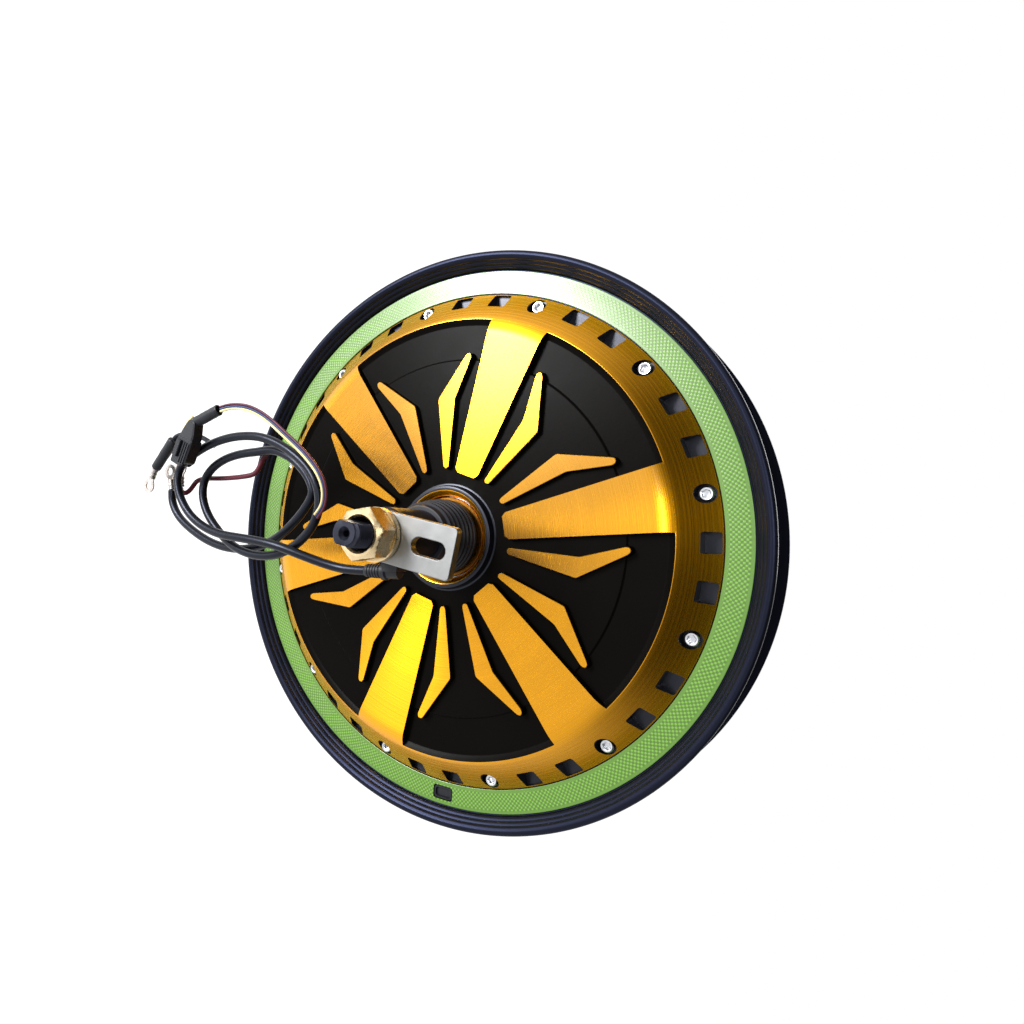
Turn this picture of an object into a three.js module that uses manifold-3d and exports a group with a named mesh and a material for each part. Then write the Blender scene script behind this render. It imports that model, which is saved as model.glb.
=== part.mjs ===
// Direct-drive hub motor wheel: a motor shell with a bare rim, a machined front cover, the magnet
// rotor inside it, and the fixed axle with its stator, torque plate, nuts and motor cable.
//
// Units are millimetres. The finished part stands upright: its spin axis runs along Y, the machined
// cover faces -Y, and the cable hangs down towards -Z. The pieces are drawn in a face frame, whose
// +z runs out of the machined cover along the axle, and the outer group turns that into the part's.

import * as THREE from "three";
import { mergeVertices } from "three/addons/utils/BufferGeometryUtils.js";
import Module from "manifold-3d";

// ---------- driving dimensions ----------
const GAP = 0.3; // clearance kept between pieces that touch in the real motor
const SEG = 48; // facets round the large turned pieces
const SMALL_SEG = 24; // facets round the axle pieces

// rim and shell
const COVER_R = 123.3; // outer radius of both covers
const SEAT_WIDTH = 12.9; // radial width of the shell face that a cover sits on
const SEAT_Z = 10; // height of that face above the wheel's mid-plane
const BAND_WIDTH = 11.3; // reflective band, radial
const BAND_THICK = 0.6;
const FLANGE_HEIGHT = 8.8; // from the band out to the lip
const LIP_Z = 20.8; // half the width over the rim's lips
const FLANGE_WALL = 3.5;
const BEAD_STEP = 4.4; // the tyre's bead seat above the floor of the well
const WELL_HALF = 5.4; // half the width of the well
const WELL_WALL = 1.2; // metal between a cover screw's hole and the tyre well
const VALVE_ANGLE = 184; // clockwise from straight up on the machined side, degrees
const VALVE_WIDTH = 11;
const VALVE_HEIGHT = 7;

// front cover
const FACE_Z = 32; // turned face of the spokes
const SHOULDER_RUN = 9.55; // radial run of the rounded shoulder
const CONE_TOP_INSET = 13.75; // radial width of the 45 degree ring
const ARC_INSET = 15.8; // from the cover's edge in to the panels' outer arc
const PANEL_DEPTH = 4; // outer floor of the panels below the face
const STEP_RISE = 0.9; // the inner floor stands this much above the outer one
const STEP_R = 87;
const BEVEL_RUN = 2.6;
const ROOF_THICK = 3; // metal under the panels' outer floor
const SPOKES = 6;
const SPOKE_PHASE = 20.7; // first spoke, degrees clockwise from straight up at rest
const SPOKE_INNER_R = 32;
const SPOKE_INNER_HALF = 6.3;
const SPOKE_OUTER_HALF = 14.6;
const DRAFT = 0.9; // how far a raised wall leans out at its foot
const BLADE_TIP_GAP = 18.4; // from a blade's outer tip to the panel's arc
const BLADE_INNER_R = 34.2;
const BLADE_BEND_R = 68.2;
const BLADE_TIP_ANGLE = 12.6; // all blade angles are from the spoke's own centre line
const BLADE_INNER_ANGLE = 20.6;
const BLADE_OUT_ANGLE = 24.3; // bend on the panel's side
const BLADE_IN_ANGLE = 16.3; // bend on the spoke's side
const BLADE_TIP_HALF = 1.7;
const BOSS_WALL = 2.3;
const BOSS_RECESS = 2.4; // radial width of the machined ring round the bearing's bore
const BOSS_RISE = 1; // boss above the spokes' face
const SCREWS = 12;
const SCREW_INSET = 4.7; // screw circle inside the cover's edge
const RECESS_R = 4.1;
const RECESS_FLOOR_Z = 13.2;
const SCREW_HEAD_R = 3.1;
const SCREW_HEAD_H = 4;
const SCREW_R = 2;
const SCREW_REACH = 6.5; // how far a screw goes into the shell
const POCKET_WIDTH = 9.2;
const POCKET_INSET = 7.8; // pocket's inner wall inside the cover's edge
const POCKET_RIM = 0.5; // metal left between pocket and edge
const POCKET_FLOOR_Z = 12.4;
const POCKET_OFFSETS = [-5, 5]; // degrees each side of the middle between two screws

// rear cover
const REAR_FACE_Z = 27;
const REAR_WALL = 3.4;
const REAR_SCREWS = 6;
const REAR_RIBS = 6;

// bearings and seals
const BEARING_R = 20;
const BEARING_W = 12;
const BEARING_Z = 16; // inner side of each bearing above the mid-plane
const INNER_RACE_WALL = 3.4;
const OUTER_RACE_WALL = 3.2;
const BALLS = 8;
const SEAL_THICK = 1.6;

// rotor and stator
const STACK_HALF = 14.5; // half the width of the magnets and laminations
const BACK_IRON = 4.4;
const MAGNET_THICK = 2.7;
const MAGNETS = 40;
const AIR_GAP = 0.7;
const SLOTS = 36;
const TOOTH_DEPTH = 22;
const YOKE = 12;
const CARRIER_WEB = 7;
const CARRIER_WINDOWS = 6;
const WINDING_CLEAR = 2.4; // air between the windings and the rear cover

// axle and what it carries
const AXLE_SEAT_R = 12.5; // where the stator sits
const AXLE_SEAT_HALF = 15; // half its length
const AXLE_BEARING_R = 8.5;
const THREAD_R = 7;
const FLAT_HALF = 5; // half the distance across the axle's flats
const SHAFT_OUT = 85; // front shoulder that the torque plate stands against
const AXLE_STUB = 9.5; // thread left in front of the nut
const REAR_SHOULDER = 58;
const REAR_STUB = 20.5; // thread left behind the rear nut
const SLOT_WIDTH = 4.6; // cable slot in the axle
const SLOT_FLOOR = 3.6;
const COLLAR_BASE_R = 16.8;
const COLLAR_RIB_R = 18.3;
const COLLAR_RIBS = 4;
const COLLAR_PITCH = 3;
const COLLAR_END = 56;
const SPACER_R = 12.2;
const PLATE_THICK = 4;
const PLATE_WIDTH = 22;
const PLATE_REACH = 37.5;
const PLATE_BACK = 13;
const PLATE_ANGLE = -12.6; // below the face frame's +x
const PLATE_SLOT_AT = 25.3;
const PLATE_SLOT_LONG = 16.4;
const PLATE_SLOT_WIDE = 7.3;
const WASHER_R = 11.8;
const WASHER_THICK = 3;
const NUT_FLATS = 21;
const NUT_HEIGHT = 10.9;
const CABLE_R = 2.2;
const GLAND_R = 3.3;
const GLAND_LENGTH = 15;
const GLAND_BACK = 9; // gland's centre line behind the torque plate's shoulder
const GLAND_DROP = 16; // distance of the gland's centre line from the axle's

// ---------- derived dimensions ----------
const shellBoreR = COVER_R - SEAT_WIDTH;
const flangeLowZ = SEAT_Z + GAP;
const bandSeatZ = flangeLowZ + FLANGE_WALL;
const bandTopZ = bandSeatZ + GAP + BAND_THICK;
const bandInR = COVER_R + 2 * GAP;
const bandOutR = bandInR + BAND_WIDTH;
const lipR = bandOutR + FLANGE_HEIGHT;
const arcR = COVER_R - ARC_INSET;
const coneTopR = COVER_R - CONE_TOP_INSET;
const shoulderR = SHOULDER_RUN * Math.SQRT2; // radius of the rounded shoulder
const shoulderDrop = shoulderR * (1 - Math.SQRT1_2);
const coneTopZ = FACE_Z - shoulderDrop;
const coneFootZ = coneTopZ - CONE_TOP_INSET;
const panelFloorZ = FACE_Z - PANEL_DEPTH;
const innerFloorZ = panelFloorZ + STEP_RISE;
const roofZ = panelFloorZ - ROOF_THICK;
const rearRoofZ = REAR_FACE_Z - REAR_WALL;
const cavityFootZ = STACK_HALF + 1.5; // where the covers' cavity starts to lean in
const windingTopZ = Math.min(roofZ, rearRoofZ) - WINDING_CLEAR;
const screwCircleR = COVER_R - SCREW_INSET;
const bossZ = FACE_Z + BOSS_RISE;
const bearingTopZ = BEARING_Z + BEARING_W;
const sealZ = bearingTopZ + GAP;
const coverBoreR = BEARING_R + GAP;
const bossBoreR = coverBoreR + BOSS_RECESS;
const bossR = bossBoreR + BOSS_WALL;
const bearingBoreR = AXLE_BEARING_R + GAP;
const rotorOutR = shellBoreR - GAP;
const rotorInR = rotorOutR - BACK_IRON;
const magnetOutR = rotorInR - GAP;
const magnetInR = magnetOutR - MAGNET_THICK;
const coreR = magnetInR - AIR_GAP;
const slotFloorR = coreR - TOOTH_DEPTH;
const coreBoreR = slotFloorR - YOKE;
const glandZ = SHAFT_OUT - GLAND_BACK;
const washerZ = SHAFT_OUT + GAP + PLATE_THICK + GAP;
const nutZ = washerZ + WASHER_THICK + GAP;
const axleFront = nutZ + NUT_HEIGHT + AXLE_STUB;
const rearNutZ = REAR_SHOULDER + 2 * GAP + WASHER_THICK;
const axleRear = rearNutZ + NUT_HEIGHT + REAR_STUB;

// ---------- helpers ----------
const rad = THREE.MathUtils.degToRad;
const wasm = await Module();
wasm.setup();

// A point on a circle, measured clockwise from the face frame's +y.
const polar = (r, degrees) => [r * Math.sin(rad(degrees)), r * Math.cos(rad(degrees))];

// Signed area of a closed outline: positive when it runs anticlockwise.
const area = (points) =>
  points.reduce((sum, [x, y], i) => {
    const [u, v] = points[(i + 1) % points.length];
    return sum + (x * v - u * y) / 2;
  }, 0);

// A solid of revolution about z from a closed outline of [radius, height] points.
function turned(points, segments = SEG) {
  const outline = area(points) > 0 ? [...points] : [...points].reverse();
  outline.push(outline[0]);
  const profile = outline.map(([r, z]) => new THREE.Vector2(Math.max(r, 0), z));
  return new THREE.LatheGeometry(profile, segments).rotateX(Math.PI / 2);
}

// A plain ring or, with an inner radius of zero, a disc.
const ring = (inner, outer, low, high, segments = SEG) =>
  turned([[inner, low], [outer, low], [outer, high], [inner, high]], segments);

const shapeOf = (points) => new THREE.Shape(points.map(([x, y]) => new THREE.Vector2(x, y)));

// An outline pulled up from one height to another.
function prism(points, low, high, holes = []) {
  const shape = shapeOf(points);
  for (const hole of holes) shape.holes.push(new THREE.Path(hole.map(([x, y]) => new THREE.Vector2(x, y))));
  return new THREE.ExtrudeGeometry(shape, { depth: high - low, bevelEnabled: false }).translate(0, 0, low);
}

const circle = (r, count, cx = 0, cy = 0, turn = 0) =>
  Array.from({ length: count }, (_, i) => {
    const [x, y] = polar(r, turn + (360 * i) / count);
    return [cx + x, cy + y];
  });

const box = (x, y, z, [cx, cy, cz]) => new THREE.BoxGeometry(x, y, z).translate(cx, cy, cz);

const cylinder = (r, low, high, count, cx = 0, cy = 0) =>
  new THREE.CylinderGeometry(r, r, high - low, count)
    .rotateX(Math.PI / 2)
    .translate(cx, cy, (low + high) / 2);

// three.js geometry to a manifold solid and back.
function solid(geometry) {
  const bare = geometry.index ? geometry.toNonIndexed() : geometry.clone();
  bare.deleteAttribute("normal");
  bare.deleteAttribute("uv");
  const merged = mergeVertices(bare, 1e-4);
  return new wasm.Manifold(
    new wasm.Mesh({
      numProp: 3,
      vertProperties: merged.attributes.position.array,
      triVerts: new Uint32Array(merged.index.array),
    }),
  );
}

function geometryOf(body) {
  const mesh = body.getMesh();
  const geometry = new THREE.BufferGeometry();
  geometry.setAttribute("position", new THREE.BufferAttribute(new Float32Array(mesh.vertProperties), 3));
  geometry.setIndex(new THREE.BufferAttribute(new Uint32Array(mesh.triVerts), 1));
  const flat = geometry.toNonIndexed();
  flat.computeVertexNormals();
  return flat;
}

const joined = (bodies) => bodies.reduce((all, body) => all.add(body));
const cut = (body, tools) => tools.reduce((left, tool) => left.subtract(tool), body);

const material = (color, roughness, metalness) =>
  new THREE.MeshStandardMaterial({ color, roughness, metalness });
const LOOKS = {
  blackRim: material(0x17181c, 0.3, 0.3),
  gold: material(0xdf9f17, 0.32, 0.85),
  blackCover: material(0x1a1917, 0.5, 0.2),
  green: material(0x79c142, 0.5, 0),
  blackSteel: material(0x1c1d24, 0.4, 0.6),
  zinc: material(0xc4c6c5, 0.35, 0.85),
  yellowZinc: material(0xd8caa0, 0.35, 0.8),
  steel: material(0xb9bcc0, 0.25, 0.95),
  iron: material(0x6d7075, 0.5, 0.8),
  copper: material(0xb4622d, 0.4, 0.7),
  magnet: material(0x9a9ea4, 0.35, 0.9),
  blackPlastic: material(0x141519, 0.5, 0),
  board: material(0x1f6b3a, 0.5, 0),
  aluminium: material(0xa9abad, 0.45, 0.8),
  maroon: material(0x4a1a20, 0.5, 0),
  cream: material(0xd9cfa6, 0.5, 0),
};

const motor = new THREE.Group();
const wheel = new THREE.Group(); // everything that spins with the rim
const axleGroup = new THREE.Group(); // everything that stays with the axle
motor.add(wheel, axleGroup);
wheel.rotation.z = -rad(SPOKE_PHASE);

function put(parent, name, geometry, look) {
  const mesh = new THREE.Mesh(geometry, LOOKS[look]);
  mesh.name = name;
  parent.add(mesh);
  return mesh;
}

// ---------- rim and shell ----------
// The shell is a heavy ring with the tyre well turned into it; a flange ring stands on each face.
const wellR = screwCircleR + SCREW_R + GAP + WELL_WALL;
const beadSeatR = wellR + BEAD_STEP;
const flangeFootR = bandOutR + 0.9;
const shellProfile = [
  [shellBoreR, -SEAT_Z], [beadSeatR, -SEAT_Z], [beadSeatR, -WELL_HALF - 2], [wellR, -WELL_HALF],
  [wellR, WELL_HALF], [beadSeatR, WELL_HALF + 2], [beadSeatR, SEAT_Z], [shellBoreR, SEAT_Z],
];
const flangeProfile = [
  [COVER_R + GAP, flangeLowZ], [COVER_R + GAP, bandSeatZ], [flangeFootR, bandSeatZ], [flangeFootR, bandTopZ],
  [lipR - 2.8, LIP_Z], [lipR - 0.9, LIP_Z], [lipR, LIP_Z - 0.9], [lipR, LIP_Z - 2.6],
  [lipR - 2.2, LIP_Z - FLANGE_WALL], [flangeFootR - 1, flangeLowZ],
];
const valveR = (bandInR + bandOutR) / 2;
const [valveX, valveY] = polar(valveR, VALVE_ANGLE - SPOKE_PHASE);
const valveTurn = -rad(VALVE_ANGLE - SPOKE_PHASE);
const valveOutline = (wide, high) => {
  const corner = 1.6;
  const points = [];
  for (const [sx, sy, from] of [[1, 1, 0], [1, -1, 90], [-1, -1, 180], [-1, 1, 270]])
    for (const step of [0, 45, 90]) {
      const [x, y] = polar(corner, from + step);
      points.push([sx * (wide / 2 - corner) + x, sy * (high / 2 - corner) + y]);
    }
  return points;
};
const valveCutter = (grow, low, high) =>
  solid(
    prism(valveOutline(VALVE_WIDTH + 2 * grow, VALVE_HEIGHT + 2 * grow), low, high)
      .rotateZ(valveTurn)
      .translate(valveX, valveY, 0),
  );
// the screws' blind holes, on both faces of the shell
const screwHoles = (count, phase, side) =>
  Array.from({ length: count }, (_, i) => {
    const [x, y] = polar(screwCircleR, phase + (360 * i) / count);
    const ends = [side * (SEAT_Z - SCREW_REACH - GAP), side * (SEAT_Z + 5)];
    return solid(cylinder(SCREW_R + GAP, Math.min(...ends), Math.max(...ends), 8, x, y));
  });
let shell = solid(turned(shellProfile));
shell = cut(shell, screwHoles(SCREWS, 0, 1));
shell = cut(shell, screwHoles(REAR_SCREWS, 30, -1));
put(wheel, "motor_shell", geometryOf(shell), "blackRim");
const frontFlange = solid(turned(flangeProfile)).subtract(valveCutter(0, SEAT_Z - 5, LIP_Z));
put(wheel, "front_flange", geometryOf(frontFlange), "blackRim");
put(wheel, "rear_flange", turned(flangeProfile.map(([r, z]) => [r, -z])), "blackRim");

const band = solid(ring(bandInR, bandOutR, bandTopZ - BAND_THICK, bandTopZ)).subtract(
  valveCutter(0, bandTopZ - 5, bandTopZ + 5),
);
put(wheel, "reflective_band", geometryOf(band), "green");

// rubber plug that closes the valve opening while no tyre is fitted, dished on its outside
const plug = valveCutter(-GAP, flangeLowZ, bandTopZ - 0.3).subtract(
  valveCutter(-1.5, bandSeatZ - 0.6, LIP_Z),
);
put(wheel, "valve_plug", geometryOf(plug), "blackPlastic");

// ---------- front cover ----------
// Outer surface of the gold faces: flat, then a rounded shoulder, then a 45 degree cone.
function shoulderPoints() {
  const points = [];
  const startR = coneTopR - SHOULDER_RUN;
  for (const degrees of [0, 15, 30, 45]) {
    const a = rad(degrees);
    points.push([startR + shoulderR * Math.sin(a), FACE_Z - shoulderR * (1 - Math.cos(a))]);
  }
  return points;
}
const shoulder = shoulderPoints();
const shoulderHeight = (r) => {
  const run = r - (coneTopR - SHOULDER_RUN);
  return FACE_Z - shoulderR + Math.sqrt(shoulderR ** 2 - run ** 2);
};
const beyondArc = shoulder.filter(([r]) => r > arcR + 0.5);
const innerConeR = shellBoreR + 0.8; // cavity wall round the rotor
const coverProfile = [
  // cavity side, from the bearing out to the seat
  [coverBoreR, BEARING_Z - GAP],
  [coverBoreR - 2.6, BEARING_Z - GAP],
  [coverBoreR - 2.6, BEARING_Z - 1.8],
  [coverBoreR + 6, BEARING_Z - 1.8],
  [coverBoreR + 6, roofZ],
  [innerConeR - (roofZ - cavityFootZ), roofZ],
  [innerConeR, cavityFootZ],
  [innerConeR, SEAT_Z + GAP],
  // edge and outside, back in to the boss
  [COVER_R, SEAT_Z + GAP],
  [COVER_R, coneFootZ],
  [coneTopR, coneTopZ],
  ...beyondArc.slice(0, -1).reverse(),
  [arcR, shoulderHeight(arcR)],
  [arcR - BEVEL_RUN, panelFloorZ],
  [STEP_R + 0.9, panelFloorZ],
  [STEP_R, innerFloorZ],
  [bossR + 0.6, innerFloorZ],
  [bossR, bossZ - 0.7],
  [bossR - 0.7, bossZ],
  [bossBoreR, bossZ],
  [bossBoreR - 1.2, bossZ - 1.2],
  [coverBoreR, sealZ + SEAL_THICK],
];
// The gold envelope that the spokes are cut down to.
const envelope = solid(
  turned([
    [0, panelFloorZ - 2],
    [arcR + 2.5, panelFloorZ - 2],
    [arcR + 2.5, coneTopZ - (arcR + 2.5 - coneTopR)],
    ...(arcR + 2.5 > coneTopR ? [[coneTopR, coneTopZ]] : []),
    ...shoulder.filter(([r]) => r < Math.min(arcR + 2.4, coneTopR - 0.1)).reverse(),
    [0, FACE_Z],
  ]),
);
// A raised figure with leaning walls: its outline at the top, wider by the draft at its foot.
function raised(points, top) {
  const outline = area(points) > 0 ? points : [...points].reverse();
  const height = top - panelFloorZ + 1.2;
  const geometry = new THREE.ExtrudeGeometry(shapeOf(outline), {
    depth: 0.4,
    bevelEnabled: true,
    bevelThickness: height,
    bevelSize: DRAFT,
    bevelOffset: 0,
    bevelSegments: 1,
  });
  geometry.translate(0, 0, top - height - 0.4);
  return solid(geometry);
}
const spokeOutline = (() => {
  const outer = arcR + 1.2;
  const lean = (SPOKE_OUTER_HALF - SPOKE_INNER_HALF) / (arcR - SPOKE_INNER_R);
  const half = SPOKE_INNER_HALF + lean * (outer - SPOKE_INNER_R);
  return [
    [-SPOKE_INNER_HALF + 0.8, SPOKE_INNER_R],
    [SPOKE_INNER_HALF - 0.8, SPOKE_INNER_R],
    [SPOKE_INNER_HALF, SPOKE_INNER_R + 1],
    [half, outer],
    [-half, outer],
    [-SPOKE_INNER_HALF, SPOKE_INNER_R + 1],
  ];
})();
const bladeOutline = (() => {
  const tipR = arcR - BLADE_TIP_GAP;
  const tip = polar(tipR, BLADE_TIP_ANGLE);
  const inner = polar(BLADE_INNER_R, BLADE_INNER_ANGLE);
  const out = polar(BLADE_BEND_R, BLADE_OUT_ANGLE);
  const into = polar(BLADE_BEND_R, BLADE_IN_ANGLE);
  const h = BLADE_TIP_HALF;
  return [
    [tip[0] - h, tip[1] - 0.6],
    into,
    [inner[0] - h, inner[1] + 0.9],
    [inner[0] - h * 0.4, inner[1] - 0.5],
    [inner[0] + h * 0.5, inner[1] - 0.3],
    [inner[0] + h, inner[1] + 1.1],
    out,
    [tip[0] + h, tip[1] - 0.4],
    [tip[0] + h * 0.5, tip[1] + 1.1],
    [tip[0] - h * 0.5, tip[1] + 1.1],
  ];
})();
const mirrored = (points) => points.map(([x, y]) => [-x, y]);
const turnedCopies = (body, count, phase = 0) =>
  Array.from({ length: count }, (_, i) => body.rotate([0, 0, -(phase + (360 * i) / count)]));

const spoke = raised(spokeOutline, FACE_Z + 0.02).intersect(envelope);
const figure = joined([spoke, raised(bladeOutline, FACE_Z), raised(mirrored(bladeOutline), FACE_Z)]);
let cover = joined([solid(turned(coverProfile)), ...turnedCopies(figure, SPOKES)]);

const pocket = (() => {
  const low = COVER_R - POCKET_INSET;
  const high = COVER_R - POCKET_RIM;
  return solid(box(POCKET_WIDTH, high - low, FACE_Z, [0, (low + high) / 2, POCKET_FLOOR_Z + FACE_Z / 2]));
})();
const recess = joined([
  solid(cylinder(RECESS_R, RECESS_FLOOR_Z, FACE_Z + 4, 12, 0, screwCircleR)),
  solid(cylinder(SCREW_R + GAP, SEAT_Z - 4, RECESS_FLOOR_Z + 1, 8, 0, screwCircleR)),
]);
const pitch = 360 / SCREWS;
for (const offset of POCKET_OFFSETS) cover = cut(cover, turnedCopies(pocket, SCREWS, pitch / 2 + offset));
cover = cut(cover, turnedCopies(recess, SCREWS));
put(wheel, "front_cover", geometryOf(cover), "gold");

// ---------- rear cover ----------
// A plain dished cover with low ribs and a bearing boss.
const rearProfile = [
  [coverBoreR, BEARING_Z - GAP],
  [coverBoreR - 2.6, BEARING_Z - GAP],
  [coverBoreR - 2.6, BEARING_Z - 1.8],
  [coverBoreR + 6, BEARING_Z - 1.8],
  [coverBoreR + 6.6, rearRoofZ],
  [innerConeR - (rearRoofZ - cavityFootZ), rearRoofZ],
  [innerConeR, cavityFootZ],
  [innerConeR, SEAT_Z + GAP],
  [COVER_R, SEAT_Z + GAP],
  [COVER_R, SEAT_Z + 4.2],
  [coneTopR - 3, REAR_FACE_Z],
  [bossR + 4, REAR_FACE_Z],
  [bossR, bossZ],
  [bossBoreR, bossZ],
  [coverBoreR, sealZ + SEAL_THICK],
].map(([r, z]) => [r, -z]);
const rearRib = solid(
  box(3, coneTopR - 10 - bossR, 3.4, [0, (coneTopR - 8 + bossR) / 2 + 1, -(REAR_FACE_Z - 0.2)]),
);
const rearRecess = joined([
  solid(cylinder(RECESS_R, -(REAR_FACE_Z + 4), -(SEAT_Z + 3.2), 12, 0, screwCircleR)),
  solid(cylinder(SCREW_R + GAP, -(SEAT_Z + 4), -(SEAT_Z - 4), 8, 0, screwCircleR)),
]);
let rear = joined([solid(turned(rearProfile)), ...turnedCopies(rearRib, REAR_RIBS)]);
rear = cut(rear, turnedCopies(rearRecess, REAR_SCREWS, 30));
put(wheel, "rear_cover", geometryOf(rear), "blackCover");

// ---------- cover screws ----------
// Socket-head screw with its hexagon recess, head underside at z = 0 and shank below it.
function screwGeometry(headHeight) {
  const head = turned(
    [
      [0, -(RECESS_FLOOR_Z - SEAT_Z) - SCREW_REACH],
      [SCREW_R, -(RECESS_FLOOR_Z - SEAT_Z) - SCREW_REACH],
      [SCREW_R, 0],
      [SCREW_HEAD_R, 0],
      [SCREW_HEAD_R, headHeight],
      [0, headHeight],
    ],
    8,
  );
  const socket = prism(circle(SCREW_HEAD_R * 0.52, 6), headHeight * 0.45, headHeight + 1);
  return geometryOf(solid(head).subtract(solid(socket)));
}
for (let i = 0; i < SCREWS; i++) {
  const screw = put(wheel, `cover_screw_${i + 1}`, screwGeometry(SCREW_HEAD_H), "steel");
  screw.position.set(...polar(screwCircleR, i * pitch), RECESS_FLOOR_Z + GAP);
}
for (let i = 0; i < REAR_SCREWS; i++) {
  const screw = put(wheel, `rear_screw_${i + 1}`, screwGeometry(3.2), "steel");
  screw.rotation.x = Math.PI;
  screw.position.set(...polar(screwCircleR, 30 + (360 * i) / REAR_SCREWS), -(RECESS_FLOOR_Z + GAP));
}

// ---------- rotor ----------
put(wheel, "rotor_ring", ring(rotorInR, rotorOutR, -STACK_HALF, STACK_HALF), "iron");
{
  const inner = [];
  const step = 360 / MAGNETS;
  for (let i = 0; i < MAGNETS; i++)
    for (const [part, r] of [[-0.42, 0], [0.42, 0], [0.5, MAGNET_THICK * 0.55]])
      inner.push(polar((magnetInR + r) / (r ? 1 : Math.cos(rad(step * 0.42))), (i + part) * step));
  const outer = circle(magnetOutR, SEG);
  put(wheel, "magnet_ring", prism(outer, -STACK_HALF, STACK_HALF, [inner.reverse()]), "magnet");
}

// ---------- bearings and seals ----------
const innerRaceR = bearingBoreR + INNER_RACE_WALL;
const outerRaceR = BEARING_R - OUTER_RACE_WALL;
const ballR = (outerRaceR - innerRaceR) / 2 + 0.8;
const ballCircleR = (outerRaceR + innerRaceR) / 2;
const raceZ = BEARING_W / 2;
// Each race has a shallow groove that the balls run in; side is +1 when it faces outwards.
function race(inner, outer, side) {
  const [run, back] = side > 0 ? [outer, inner] : [inner, outer];
  const floor = run - side * 1.4;
  return turned([[back, -raceZ], [run, -raceZ], [floor, 0], [run, raceZ], [back, raceZ]], SMALL_SEG);
}
const cages = new THREE.Group(); // the ball sets turn about the axle at their own speed
motor.add(cages);
const cageGeometry = (() => {
  const balls = Array.from({ length: BALLS }, (_, i) => {
    const [x, y] = polar(ballCircleR, (360 * i) / BALLS);
    return solid(new THREE.IcosahedronGeometry(ballR, 0).translate(x, y, 0));
  });
  const hoop = solid(ring(ballCircleR - 0.9, ballCircleR + 0.9, -1.4, 1.4, 2 * BALLS));
  return geometryOf(joined([hoop, ...balls]));
})();
for (const [end, side] of [["front", 1], ["rear", -1]]) {
  const middle = side * (BEARING_Z + raceZ);
  put(axleGroup, `${end}_bearing_inner`, race(bearingBoreR, innerRaceR, 1), "steel")
    .position.set(0, 0, middle);
  put(wheel, `${end}_bearing_outer`, race(outerRaceR, BEARING_R, -1), "steel")
    .position.set(0, 0, middle);
  put(cages, `${end}_ball_cage`, cageGeometry.clone(), "steel").position.set(0, 0, middle);
  const low = Math.min(side * sealZ, side * (sealZ + SEAL_THICK));
  const seal = ring(innerRaceR + 0.5, BEARING_R - 0.3, low, low + SEAL_THICK, SMALL_SEG);
  put(wheel, `${end}_seal`, seal, "gold");
}

// ---------- stator ----------
{
  const step = 360 / SLOTS;
  const outline = [];
  for (let i = 0; i < SLOTS; i++) {
    const at = i * step;
    for (const [part, r] of [
      [-0.27, slotFloorR], [-0.2, coreR - 3], [-0.42, coreR],
      [0.42, coreR], [0.2, coreR - 3], [0.27, slotFloorR],
    ])
      outline.push(polar(r, at + part * step));
  }
  const bore = circle(coreBoreR, SMALL_SEG).reverse();
  put(axleGroup, "stator_core", prism(outline, -STACK_HALF, STACK_HALF, [bore]), "iron");
}
const carrierR = coreBoreR - GAP;
const carrier = cut(
  solid(
    turned(
      [
        [AXLE_SEAT_R + GAP, -12], [AXLE_SEAT_R + 8, -12], [AXLE_SEAT_R + 9, -CARRIER_WEB / 2],
        [carrierR - 6, -CARRIER_WEB / 2], [carrierR - 6, -11], [carrierR, -11], [carrierR, 11],
        [carrierR - 6, 11], [carrierR - 6, CARRIER_WEB / 2], [AXLE_SEAT_R + 9, CARRIER_WEB / 2],
        [AXLE_SEAT_R + 8, 12], [AXLE_SEAT_R + GAP, 12],
      ],
      SMALL_SEG,
    ),
  ),
  Array.from({ length: CARRIER_WINDOWS }, (_, i) => {
    const middle = (AXLE_SEAT_R + 9 + carrierR - 6) / 2;
    const [x, y] = polar(middle, (360 * i) / CARRIER_WINDOWS);
    return solid(cylinder((carrierR - AXLE_SEAT_R - 24) / 2, -20, 20, 10, x, y));
  }),
);
put(axleGroup, "stator_carrier", geometryOf(carrier), "aluminium");
for (const [end, side] of [["front", 1], ["rear", -1]]) {
  const low = STACK_HALF + GAP;
  const profile = [
    [slotFloorR, low], [coreR - 4, low], [coreR - 4.5, windingTopZ - 2],
    [coreR - 8, windingTopZ], [slotFloorR + 4, windingTopZ], [slotFloorR + 0.5, windingTopZ - 2],
  ].map(([r, z]) => [r, side * z]);
  put(axleGroup, `${end}_winding`, turned(profile, SMALL_SEG), "copper");
}
{
  const inner = [];
  const outer = [];
  for (let degrees = 150; degrees <= 210; degrees += 10) {
    inner.push(polar(coreBoreR + 1, degrees));
    outer.push(polar(slotFloorR - 1, degrees));
  }
  const low = STACK_HALF + GAP;
  put(axleGroup, "hall_board", prism([...inner, ...outer.reverse()], low, low + 1.6), "board");
}

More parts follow.
